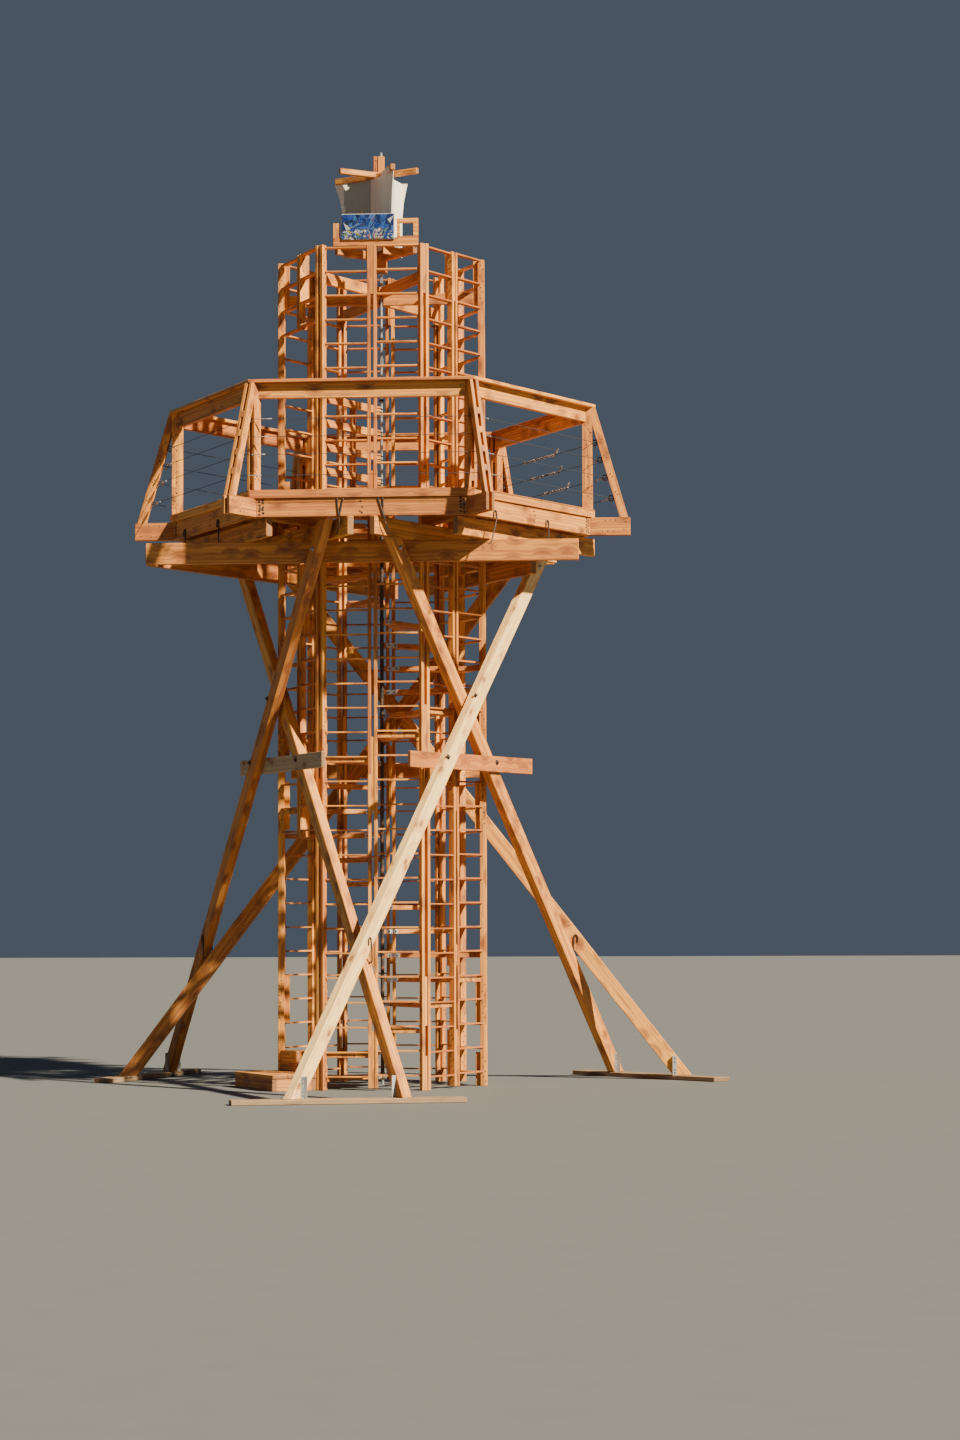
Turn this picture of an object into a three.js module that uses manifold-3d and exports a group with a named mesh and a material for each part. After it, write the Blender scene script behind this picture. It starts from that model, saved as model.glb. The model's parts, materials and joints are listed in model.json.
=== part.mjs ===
// Timber observation tower: a six-sided lattice stair shaft on three pairs of crossing raking legs,
// with a six-sided gallery near the top and a small lantern crown.
// Millimetres, +Z up, origin on the ground under the central rod, front side facing -Y.
import * as THREE from 'three';
import Module from 'manifold-3d';

const wasm = await Module();
wasm.setup();

// Clearance between pieces that touch, and the overlap of parts that are fused into one piece
const GAP = 0.3;
const BITE = 1;

// Stair and lattice levels
const RISE = 230;
const FIRST_RAIL = 130;
const RAIL_COUNT = 35;
const RAIL_THICK = 28;
const STEPS_PER_TURN = 12;
const TURNS = 2;
const STEP_TURN = 360 / STEPS_PER_TURN;
const STAIR_START = 300;

// Shaft plan
const SHAFT_APOTHEM = 866;
const RAIL_DEPTH = 60;
const BOARD = 30;
const BOARD_GAP = 28;
const POST_DEPTH = 62;
const POST_OUT = 1005;
const MID_PROUD = 5;
const MID_BOTTOM = 20;
const TOP = FIRST_RAIL + RISE * (RAIL_COUNT - 1) + RAIL_THICK / 2;

// Spacer boards between the two battens of a post: deeper than they are, most of them two rails tall
const SPACER_DEPTH = 115;
const SPACER_INSET = 6;
const CORNER_SPACERS = [[0, 320], [600, 1056], [2455, 2915], [3140, 3600], [5370, 5830], [7490, TOP]];
const MID_SPACERS = [[MID_BOTTOM, 550], [1150, 1350], [2610, 3300], [5350, 5810], [7490, TOP]];

// Entry and gallery doorways, by rail number
const LAST_RAIL = RAIL_COUNT - 1;
const ENTRY_HEAD_RAIL = 10;
const DECK_RAIL = 23;
const GALLERY_HEAD_RAIL = 31;

// Floor frame
const LOW_BEAM = { bottom: 4900, tall: 199.7, thick: 60 };
const JOIST = { bottom: 5100, tall: 170, thick: 60 };
const JOIST_INNER = 980;
const JOIST_OUTER = 1600;
const RIM_OUT = 1790;
const RIM_THICK = 50;
const DECK_BOTTOM = 5440;
const DECK_TOP = 5520;

// Gallery corners
const OUTRIGGER_END = 2405;
const HANDRAIL_TOP = 6540;
const HANDRAIL_BOARD = 32;
const HANDRAIL_BEAM = 140;

// Legs
const LEG_WIDE = 145;
const LEG_THICK = 90;
const TIE_THICK = 34;
const LEG_REF = 5200;
const SILL_TOP = 45;

// Names of the six sides and the six corners, by direction in degrees
const SIDES = [
  [0, 'front'], [60, 'right_front'], [120, 'right_back'],
  [180, 'back'], [240, 'left_back'], [300, 'left_front'],
];
const CORNERS = [
  [30, 'front_right'], [90, 'right'], [150, 'back_right'],
  [210, 'back_left'], [270, 'left'], [330, 'front_left'],
];
const ENTRY_SIDE = 300;

const larch = () => new THREE.MeshStandardMaterial({ color: 0xd9a066, roughness: 0.7 });
const paleLarch = () => new THREE.MeshStandardMaterial({ color: 0xe8cf9a, roughness: 0.7 });
const steel = () => new THREE.MeshStandardMaterial({ color: 0xa9b0b5, metalness: 0.9, roughness: 0.4 });
const sheet = () => new THREE.MeshStandardMaterial({ color: 0xe9e6dc, roughness: 0.6 });
const mosaic = () => new THREE.MeshStandardMaterial({ color: 0x3560a8, roughness: 0.25 });

const root = new THREE.Group();
root.name = 'observation_tower';

function rad(degrees) {
  return degrees * Math.PI / 180;
}

// Frame of one side: local x runs along it, y is up, z is outwards
function sideFrame(theta) {
  const a = rad(theta);
  const along = new THREE.Vector3(Math.cos(a), Math.sin(a), 0);
  const up = new THREE.Vector3(0, 0, 1);
  const out = new THREE.Vector3(Math.sin(a), -Math.cos(a), 0);
  return new THREE.Matrix4().makeBasis(along, up, out);
}

// Box in a side's frame, from its lowest to its highest x, height and distance out
function slab(theta, x, z, out) {
  const g = new THREE.BoxGeometry(x[1] - x[0], z[1] - z[0], out[1] - out[0]);
  g.translate((x[0] + x[1]) / 2, (z[0] + z[1]) / 2, (out[0] + out[1]) / 2);
  return g.applyMatrix4(sideFrame(theta));
}

function shapeOf(points) {
  const shape = new THREE.Shape();
  points.forEach(([x, y], i) => (i ? shape.lineTo(x, y) : shape.moveTo(x, y)));
  shape.closePath();
  return shape;
}

// Outline of (x, height) points in a side's frame, with a thickness outwards
function upright(theta, points, out) {
  const g = new THREE.ExtrudeGeometry(shapeOf(points), { depth: out[1] - out[0], bevelEnabled: false });
  g.translate(0, 0, out[0]);
  return g.applyMatrix4(sideFrame(theta));
}

// Outline of (x, out) points in a side's plan, with a height
function flat(theta, points, z) {
  const a = rad(theta);
  const outline = points.map(([x, out]) => [x, -out]);
  const g = new THREE.ExtrudeGeometry(shapeOf(outline), { depth: z[1] - z[0], bevelEnabled: false });
  g.translate(0, 0, z[0]);
  const along = new THREE.Vector3(Math.cos(a), Math.sin(a), 0);
  const inward = new THREE.Vector3(-Math.sin(a), Math.cos(a), 0);
  return g.applyMatrix4(new THREE.Matrix4().makeBasis(along, inward, new THREE.Vector3(0, 0, 1)));
}

// Round bar between two points
function bar(from, to, radius, sides = 8) {
  const a = new THREE.Vector3(...from);
  const b = new THREE.Vector3(...to);
  const g = new THREE.CylinderGeometry(radius, radius, a.distanceTo(b), sides);
  const turn = new THREE.Quaternion().setFromUnitVectors(
    new THREE.Vector3(0, 1, 0), b.clone().sub(a).normalize());
  return g.applyQuaternion(turn).translate(...a.clone().add(b).multiplyScalar(0.5).toArray());
}

function toManifold(geometry) {
  const g = geometry.index ? geometry.toNonIndexed() : geometry;
  const position = g.attributes.position;
  const seen = new Map();
  const vertices = [];
  const triangles = [];
  for (let i = 0; i < position.count; i += 1) {
    const point = [position.getX(i), position.getY(i), position.getZ(i)];
    const key = point.map((v) => Math.round(v * 1000)).join(' ');
    if (!seen.has(key)) {
      seen.set(key, seen.size);
      vertices.push(...point);
    }
    triangles.push(seen.get(key));
  }
  const mesh = new wasm.Mesh({
    numProp: 3, vertProperties: new Float32Array(vertices), triVerts: new Uint32Array(triangles),
  });
  return new wasm.Manifold(mesh);
}

function toGeometry(solid) {
  const mesh = solid.getMesh();
  const g = new THREE.BufferGeometry();
  g.setAttribute('position', new THREE.BufferAttribute(new Float32Array(mesh.vertProperties), 3));
  g.setIndex(new THREE.BufferAttribute(new Uint32Array(mesh.triVerts), 1));
  g.computeVertexNormals();
  return g;
}

function fuse(geometries, cuts = []) {
  let solid = geometries.map(toManifold).reduce((a, b) => a.add(b));
  for (const cut of cuts) {
    solid = solid.subtract(toManifold(cut));
  }
  return toGeometry(solid);
}

function add(name, geometry, material) {
  const mesh = new THREE.Mesh(geometry, material);
  mesh.name = name;
  root.add(mesh);
}

function railHeight(k) {
  return FIRST_RAIL + RISE * k;
}

// Half length of a line along a side, at a distance out, up to the corner posts' sides
function reachToPost(out) {
  const side = BOARD + BOARD_GAP / 2 + GAP;
  return out * Math.tan(rad(30)) - side / Math.cos(rad(30));
}

// Pair of boards with spacers between them, radial at a corner or at a side's middle
function doubleBoard(theta, z, out, spacers, depth = out[1] - out[0]) {
  const near = BOARD_GAP / 2;
  const far = near + BOARD;
  const boards = [slab(theta, [near, far], z, out), slab(theta, [-far, -near], z, out)];
  const fillings = spacers.map((span) => slab(
    theta, [-near - BITE, near + BITE], span, [out[1] - depth + SPACER_INSET, out[1] - SPACER_INSET]));
  return [...boards, ...fillings];
}

function cornerPost(theta) {
  return doubleBoard(theta, [0, TOP + 1], [POST_OUT - POST_DEPTH, POST_OUT], CORNER_SPACERS, SPACER_DEPTH);
}

// Rail of one side in two halves, from the middle post to each corner post, or into one of its boards
function railHalves(theta, k, intoLeft, intoRight) {
  const z = [railHeight(k) - RAIL_THICK / 2, railHeight(k) + RAIL_THICK / 2];
  const inner = SHAFT_APOTHEM - RAIL_DEPTH;
  const middle = BOARD_GAP / 2 + BOARD - BITE;
  const half = (s, into) => flat(theta, [
    [s * middle, inner], [s * (reachToPost(inner) + into), inner],
    [s * (reachToPost(SHAFT_APOTHEM) + into), SHAFT_APOTHEM], [s * middle, SHAFT_APOTHEM],
  ], z);
  return [half(1, intoRight), half(-1, intoLeft)];
}

// Lattice of one side between two rails, with its middle double post
function lattice(theta, rails, z, spacers, into = [0, 0]) {
  const out = [SHAFT_APOTHEM + MID_PROUD - POST_DEPTH, SHAFT_APOTHEM + MID_PROUD];
  const solids = doubleBoard(theta, z, out, spacers, SPACER_DEPTH);
  for (let k = rails[0]; k <= rails[1]; k += 1) {
    solids.push(...railHalves(theta, k, ...into));
  }
  return solids;
}

// Each closed side carries the corner post on its right, and the front side both of its posts
function shaftSides() {
  const biteIntoPost = 3 * BITE;
  for (const [theta, name] of SIDES) {
    if (theta !== ENTRY_SIDE) {
      const isFront = theta === 0;
      const solids = lattice(theta, [0, LAST_RAIL], [MID_BOTTOM, TOP], MID_SPACERS,
        [isFront ? biteIntoPost : 0, biteIntoPost]);
      solids.push(...cornerPost(theta + 30));
      if (isFront) {
        solids.push(...cornerPost(theta - 30));
      }
      add(`shaft_side_${name}`, fuse(solids), larch());
    }
  }
}

// Above each doorway the middle post hangs on the rails between the two corner posts
const HEAD_DROP = 60;
const ENTRY_SPACERS = [[2370, 3300], [4300, 4500], [4970, 5430]];
const GALLERY_DOOR_SPACERS = [[7240, 7330], [7490, TOP]];

function doorwayLattices() {
  const head = railHeight(ENTRY_HEAD_RAIL) - HEAD_DROP;
  add('lattice_over_entry', fuse(lattice(ENTRY_SIDE, [ENTRY_HEAD_RAIL, DECK_RAIL],
    [head, railHeight(DECK_RAIL) + RAIL_THICK / 2], ENTRY_SPACERS)), larch());
  const lintel = railHeight(GALLERY_HEAD_RAIL) - RAIL_THICK / 2;
  add('lattice_over_gallery_door', fuse(lattice(ENTRY_SIDE, [GALLERY_HEAD_RAIL, LAST_RAIL],
    [lintel, TOP], GALLERY_DOOR_SPACERS)), larch());
}

// Central rod on its foot plate
const ROD_RADIUS = 14;
const ROD_TOP = 9045;
const ROD_FOOT = 110;
const ROD_FOOT_THICK = 12;

function centralRod() {
  const plate = slab(0, [-ROD_FOOT, ROD_FOOT], [0, ROD_FOOT_THICK], [-ROD_FOOT, ROD_FOOT]);
  const rod = bar([0, 0, ROD_FOOT_THICK / 2], [0, 0, ROD_TOP], ROD_RADIUS);
  add('central_rod', fuse([plate, rod]), steel());
}

// Winding stair: each tread lies under the shaft's rails and is threaded on the rod
const SLEEVE_RADIUS = 24;
const TREAD_OUT = 842;
const TREAD_THICK = 45;
const SLEEVE_BOTTOM = 60;

// Outline of the tread of one step, over a twelfth of a turn
function treadAt(step, z) {
  const start = STAIR_START + STEP_TURN * step;
  const firstHalf = Math.round(start / STEP_TURN) % 2 === 1;
  const theta = (firstHalf ? start + STEP_TURN : start) % 360;
  const s = firstHalf ? -1 : 1;
  const post = BOARD_GAP / 2 + BOARD + GAP;
  const postInner = SHAFT_APOTHEM - RAIL_DEPTH - 4;
  const nearSleeve = [[s * 4, 20], [s * 18, 12]];
  return flat(theta, [
    [s * post, TREAD_OUT], [s * post, postInner], ...nearSleeve,
    [s * reachToPost(postInner), postInner], [s * reachToPost(TREAD_OUT), TREAD_OUT],
  ], z);
}

function treadTop(step) {
  return railHeight(step) - RAIL_THICK / 2 - GAP;
}

// The landing lies on the rail at the deck's level, one step on from the last tread
function stairFlights() {
  for (let flight = 0; flight < TURNS; flight += 1) {
    const first = flight * STEPS_PER_TURN;
    const last = first + STEPS_PER_TURN - 1;
    const isLast = flight === TURNS - 1;
    const bottom = flight ? treadTop(first - 1) + GAP : SLEEVE_BOTTOM;
    const top = isLast ? DECK_TOP : treadTop(last);
    const solids = [bar([0, 0, bottom], [0, 0, top], SLEEVE_RADIUS)];
    for (let step = first; step <= last; step += 1) {
      solids.push(treadAt(step, [treadTop(step) - TREAD_THICK, treadTop(step)]));
    }
    if (isLast) {
      solids.push(treadAt(last + 1, [railHeight(DECK_RAIL) + RAIL_THICK / 2 + GAP, DECK_TOP]));
    }
    const bore = rodBore([bottom - 10, top + 10]);
    add(flight ? 'stair_flight_upper' : 'stair_flight_lower', fuse(solids, [bore]), larch());
  }
}

// Radial boards from the front-left corner post to the rod, on one upright, above the landing
const GUARD_TALL = 70;
const GUARD_DROP = 60;
const GUARD_RAILS = [25, 28];
const GUARD_UPRIGHT = { thick: 40, bottom: 5640, top: 6560, in: 390, out: 450 };
const GUARD_END = 30;
const GUARD_CORNER = 330;

// Distance out at which a radial piece meets the corner post: its spacer if one is there, or its battens
function reachToCorner(z) {
  const meetsSpacer = CORNER_SPACERS.some(([from, to]) => z[0] < to && z[1] > from);
  return POST_OUT - GAP - (meetsSpacer ? SPACER_DEPTH - SPACER_INSET : POST_DEPTH);
}

function stairGuard() {
  const { thick, bottom, top, in: near, out } = GUARD_UPRIGHT;
  const solids = [slab(GUARD_CORNER, [-BOARD / 2 - thick, BITE - BOARD / 2], [bottom, top], [near, out])];
  for (let k = GUARD_RAILS[0]; k <= GUARD_RAILS[1]; k += 1) {
    const middle = railHeight(k) - GUARD_DROP;
    const z = [middle - GUARD_TALL / 2, middle + GUARD_TALL / 2];
    solids.push(slab(GUARD_CORNER, [-BOARD / 2, BOARD / 2], z, [GUARD_END, reachToCorner(z)]));
  }
  add('stair_guard', fuse(solids), larch());
}

// Six planks on edge that hold the rod's head to the corner posts, the two front ones highest
const SPIDER = { bottom: 7540, tall: 110, thick: 40, frontRise: 65 };

function rodBore(z) {
  return bar([0, 0, z[0]], [0, 0, z[1]], ROD_RADIUS + GAP);
}

function rodSpider() {
  const side = [-SPIDER.thick / 2, SPIDER.thick / 2];
  const arms = CORNERS.map(([theta]) => {
    const isFront = Math.cos(rad(theta)) > 0.5;
    const bottom = SPIDER.bottom + (isFront ? SPIDER.frontRise : 0);
    const z = [bottom, bottom + SPIDER.tall];
    return slab(theta, side, z, [0, reachToCorner(z)]);
  });
  const top = SPIDER.bottom + SPIDER.frontRise + SPIDER.tall;
  add('rod_spider', fuse(arms, [rodBore([SPIDER.bottom - 10, top + 10])]), larch());
}

// Legs: in the plane of a side, the right-goer outside and the left-goer inside its tie board
const LEG_PAIR_OUT = 1047;
const LEG_OFFSET = (LEG_THICK + TIE_THICK) / 2 + GAP;
const RIGHT_LEG = { foot: -2890, head: 1180, top: 5260, out: LEG_PAIR_OUT + LEG_OFFSET };
const LEFT_LEG = { foot: 2680, head: -1270, top: JOIST.bottom - GAP, out: LEG_PAIR_OUT - LEG_OFFSET };
const LEG_SIDES = [[60, 'right'], [180, 'back'], [300, 'left']];
const PALE_LEG_SIDE = 60;
const TIE = { half: 1020, bottom: 2990, top: 3140 };

function legAt(leg, z) {
  return leg.foot + (leg.head - leg.foot) * z / LEG_REF;
}

function legHalfWidth(leg) {
  const run = Math.abs(leg.head - leg.foot);
  return LEG_WIDE / 2 / Math.sin(Math.atan2(LEG_REF, run));
}

function legSolid(theta, leg) {
  const z0 = SILL_TOP + GAP;
  const half = legHalfWidth(leg);
  const points = [
    [legAt(leg, z0) - half, z0], [legAt(leg, z0) + half, z0],
    [legAt(leg, leg.top) + half, leg.top], [legAt(leg, leg.top) - half, leg.top],
  ];
  return upright(theta, points, [leg.out - LEG_THICK / 2, leg.out + LEG_THICK / 2]);
}

function legsAndTies() {
  for (const [theta, name] of LEG_SIDES) {
    const wood = theta === PALE_LEG_SIDE ? paleLarch() : larch();
    add(`leg_${name}_outer`, legSolid(theta, RIGHT_LEG), wood);
    add(`leg_${name}_inner`, legSolid(theta, LEFT_LEG), larch());
    const out = [LEG_PAIR_OUT - TIE_THICK / 2, LEG_PAIR_OUT + TIE_THICK / 2];
    add(`tie_${name}`, slab(theta, [-TIE.half, TIE.half], [TIE.bottom, TIE.top], out), larch());
  }
}

// Sill planks on the ground, each skewed to carry the feet of two legs
const SILL_HALF = 1030;
const SILL_WIDE = 210;
const SILL_SIDES = [[0, 'front'], [120, 'right'], [240, 'left']];

function legFoot(theta, leg) {
  const side = new THREE.Vector3(legAt(leg, SILL_TOP), 0, leg.out);
  return side.applyMatrix4(sideFrame(theta));
}

function sills() {
  for (const [theta, name] of SILL_SIDES) {
    const a = legFoot(theta + 60, RIGHT_LEG);
    const b = legFoot(theta - 60, LEFT_LEG);
    const skew = Math.atan2(b.y - a.y, b.x - a.x) * 180 / Math.PI;
    const middle = a.add(b).multiplyScalar(0.5).applyMatrix4(sideFrame(skew).invert());
    add(`sill_${name}`, slab(skew, [middle.x - SILL_HALF, middle.x + SILL_HALF], [0, SILL_TOP],
      [middle.z - SILL_WIDE / 2, middle.z + SILL_WIDE / 2]), larch());
  }
}

// Floor frame: low beams against the legs' heads, and joists across them, each with its two ends
const LOW_BEAMS = [[0, 'front', -2080, 1960], [120, 'right', -800, 1960], [240, 'left', -1960, 2000]];
const JOISTS = [
  [60, 'right', -1060, 1280, -1500, 1560],
  [180, 'back', -1450, 1450, -1620, 1620],
  [300, 'left', -1280, 1060, -1560, 1500],
];

function lowBeamOut() {
  // The left-goer's nearest upright edge to the shaft, at the beam's underside
  const along = legAt(LEFT_LEG, LOW_BEAM.bottom) + legHalfWidth(LEFT_LEG);
  const out = LEFT_LEG.out - LEG_THICK / 2;
  const a = rad(60);
  const leftEdge = out * Math.cos(a) - along * Math.sin(a);
  const alongRight = legAt(RIGHT_LEG, LOW_BEAM.bottom) - legHalfWidth(RIGHT_LEG);
  const outRight = RIGHT_LEG.out - LEG_THICK / 2;
  const rightEdge = outRight * Math.cos(a) + alongRight * Math.sin(a);
  return Math.min(leftEdge, rightEdge) - GAP;
}

function floorFrame() {
  const outer = lowBeamOut();
  for (const [theta, name, from, to] of LOW_BEAMS) {
    add(`low_beam_${name}`, slab(theta, [from, to], [LOW_BEAM.bottom, LOW_BEAM.bottom + LOW_BEAM.tall],
      [outer - LOW_BEAM.thick, outer]), larch());
  }
  const z = [JOIST.bottom, JOIST.bottom + JOIST.tall];
  for (const [theta, name, outerFrom, outerTo, innerFrom, innerTo] of JOISTS) {
    add(`joist_${name}_outer`, slab(theta, [outerFrom, outerTo], z,
      [JOIST_OUTER - JOIST.thick / 2, JOIST_OUTER + JOIST.thick / 2]), larch());
    add(`joist_${name}_inner`, slab(theta, [innerFrom, innerTo], z,
      [JOIST_INNER - JOIST.thick / 2, JOIST_INNER + JOIST.thick / 2]), larch());
  }
}

// Half length of a line along a side, at a distance out, short of the corner's radial plane
function halfSideAt(out, clearance) {
  return out * Math.tan(rad(30)) - clearance / Math.cos(rad(30));
}

// Deck of each side: boards on a rim beam, with the double outrigger of the corner on its right
const RIM_SETBACK = 20;
const OUTRIGGER_BLOCKS = [[1200, 1320], [2150, 2270]];
const OUTRIGGER_BLOCK_INSET = 10;

function outrigger(theta) {
  const z = [JOIST.bottom + JOIST.tall + GAP, DECK_BOTTOM - GAP];
  const near = BOARD_GAP / 2;
  const out = [POST_OUT + GAP, OUTRIGGER_END];
  const tall = [z[0] + OUTRIGGER_BLOCK_INSET, z[1] - OUTRIGGER_BLOCK_INSET];
  const blocks = OUTRIGGER_BLOCKS.map((span) => slab(theta, [-near - BITE, near + BITE], tall, span));
  return [...doubleBoard(theta, z, out, []), ...blocks];
}

function deck() {
  const inner = SHAFT_APOTHEM + MID_PROUD + GAP;
  const outriggerSide = BOARD_GAP / 2 + BOARD + GAP;
  const postCorner = POST_OUT * Math.cos(rad(30)) + outriggerSide / 2 + GAP;
  const rimOut = RIM_OUT - RIM_SETBACK;
  const rimIn = rimOut - RIM_THICK;
  const rimZ = [JOIST.bottom + JOIST.tall + GAP, DECK_BOTTOM + BITE];
  const intoOutrigger = 3 * BITE;
  for (const [theta, name] of SIDES) {
    const plate = flat(theta, [
      [-halfSideAt(RIM_OUT, GAP), RIM_OUT], [halfSideAt(RIM_OUT, GAP), RIM_OUT],
      [halfSideAt(postCorner, GAP), postCorner], [halfSideAt(postCorner, outriggerSide), postCorner],
      [halfSideAt(inner, outriggerSide), inner], [-halfSideAt(inner, outriggerSide), inner],
      [-halfSideAt(postCorner, outriggerSide), postCorner], [-halfSideAt(postCorner, GAP), postCorner],
    ], [DECK_BOTTOM, DECK_TOP]);
    const rightSide = outriggerSide - intoOutrigger;
    const rim = flat(theta, [
      [-halfSideAt(rimOut, outriggerSide), rimOut], [halfSideAt(rimOut, rightSide), rimOut],
      [halfSideAt(rimIn, rightSide), rimIn], [-halfSideAt(rimIn, outriggerSide), rimIn],
    ], rimZ);
    add(`deck_${name}`, fuse([plate, rim, ...outrigger(theta + 30)]), larch());
  }
}

// Gallery post of each corner: an upright pair of boards and the raking strut outside it
const STRUT = { footOut: 2335, footAt: 5470, headOut: 2075, headAt: 6368, wide: 80 };
const GALLERY_POST = [1945, 2045];
const HANDRAIL_UNDER = HANDRAIL_TOP - HANDRAIL_BOARD - HANDRAIL_BEAM;
const STRUT_BLOCKS = [5640, 5820, 6000, 6180];
const STRUT_BLOCK_TALL = 60;
const GALLERY_SPACERS = [[DECK_TOP + 60, DECK_TOP + 170], [HANDRAIL_UNDER - 140, HANDRAIL_UNDER - 30]];

function strutOut(z) {
  const slope = (STRUT.headOut - STRUT.footOut) / (STRUT.headAt - STRUT.footAt);
  return STRUT.footOut + (z - STRUT.footAt) * slope;
}

// Piece of the strut between two heights; it lies in the corner's radial plane, a quarter turn on
function strutPiece(theta, x, z) {
  const half = STRUT.wide / 2;
  const points = [
    [-strutOut(z[0]) - half, z[0]], [-strutOut(z[0]) + half, z[0]],
    [-strutOut(z[1]) + half, z[1]], [-strutOut(z[1]) - half, z[1]],
  ];
  return upright(theta + 90, points, x);
}

function galleryPosts() {
  const near = BOARD_GAP / 2;
  const far = near + BOARD;
  const top = HANDRAIL_UNDER - GAP;
  for (const [theta, name] of CORNERS) {
    const solids = doubleBoard(theta, [DECK_TOP + GAP, top], GALLERY_POST, GALLERY_SPACERS);
    for (const x of [[near - BITE, far - BITE], [BITE - far, BITE - near]]) {
      solids.push(strutPiece(theta, x, [DECK_BOTTOM, top]));
    }
    for (const z of STRUT_BLOCKS) {
      solids.push(strutPiece(theta, [-near, near], [z, z + STRUT_BLOCK_TALL]));
    }
    add(`gallery_post_${name}`, fuse(solids), larch());
  }
}

// Handrail of each side: a beam on edge under a flat board
const HANDRAIL_BEAM_OUT = [1707, 1757];
const HANDRAIL_BOARD_OUT = [1655, 1800];

function mitred(theta, out, z) {
  return flat(theta, [
    [-halfSideAt(out[1], GAP), out[1]], [halfSideAt(out[1], GAP), out[1]],
    [halfSideAt(out[0], GAP), out[0]], [-halfSideAt(out[0], GAP), out[0]],
  ], z);
}

function handrails() {
  const under = HANDRAIL_TOP - HANDRAIL_BOARD;
  for (const [theta, name] of SIDES) {
    const beam = mitred(theta, HANDRAIL_BEAM_OUT, [HANDRAIL_UNDER, under + 1]);
    const board = mitred(theta, HANDRAIL_BOARD_OUT, [under, HANDRAIL_TOP]);
    add(`handrail_${name}`, fuse([beam, board]), larch());
  }
}

// One taut wire cable: four rounds through the struts' eyes, led from round to round up one strut
const CABLE_RADIUS = 3;
const CABLE_HEIGHTS = [5630, 5830, 6000, 6170];
const CABLE_LINK_CORNER = 210;
const CABLE_EYE = { radius: 5.5, tall: 12 };

function cable() {
  const corner = (theta, z) => {
    const out = strutOut(z + CABLE_EYE.tall / 2) - STRUT.wide / 2 - CABLE_EYE.radius - GAP;
    return [out * Math.sin(rad(theta)), -out * Math.cos(rad(theta)), z];
  };
  const solids = [];
  for (const z of CABLE_HEIGHTS) {
    for (const [theta] of CORNERS) {
      solids.push(bar(corner(theta, z), corner(theta + 60, z), CABLE_RADIUS, 4));
      const [x, y] = corner(theta, z);
      solids.push(bar([x, y, z - CABLE_EYE.tall / 2], [x, y, z + CABLE_EYE.tall / 2], CABLE_EYE.radius, 4));
    }
  }
  const lowest = corner(CABLE_LINK_CORNER, CABLE_HEIGHTS[0]);
  const highest = corner(CABLE_LINK_CORNER, CABLE_HEIGHTS[CABLE_HEIGHTS.length - 1]);
  solids.push(bar(lowest, highest, CABLE_RADIUS, 4));
  add('gallery_cable', fuse(solids), steel());
}

// Entry step outside the doorway, and the low box inside it
const ENTRY_STEP = { half: 480, deep: 440, top: 150 };
const ENTRY_BOX = { end: -60, in: 600, out: SHAFT_APOTHEM, top: 345 };

function entry() {
  const from = POST_OUT * Math.cos(rad(30)) + (BOARD + BOARD_GAP / 2) / 2 + GAP;
  add('entry_step', slab(ENTRY_SIDE, [-ENTRY_STEP.half, ENTRY_STEP.half], [0, ENTRY_STEP.top],
    [from, from + ENTRY_STEP.deep]), larch());
  const { end, in: near, out, top } = ENTRY_BOX;
  const box = flat(ENTRY_SIDE, [
    [-reachToPost(out), out], [end, out], [end, near], [-reachToPost(near), near],
  ], [0, top]);
  add('entry_box', box, larch());
}

// Crown: a three-cornered frame on the rod's head, with its panel, folded sheets and crossed arms
const CROWN_BOTTOM = 7965 + GAP;
const CROWN_LIMB = { half: 24, inset: 30, drop: 2, top: 8046 };
const CROWN_PLANK = { left: -420, right: 400, in: 380, out: 425, bottom: 8045, top: 8125 };
const CROWN_HUB = { half: 55, bottom: 7860 };
const CROWN_TOP = 9004;

// Two short boards behind the plank meet in a point, as (x, out)
const CROWN_VEE = { left: 55, right: 368, x: 240, out: 270, wide: 34 };

// On the plank stand a framed end at its right and a stub at its left
const CROWN_END = { wide: 206, tall: 181, left: 30, right: 47, lip: 8, head: 45 };
const CROWN_STUB = { wide: 60, tall: 143 };
const CROWN_END_INSET = 5;

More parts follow.
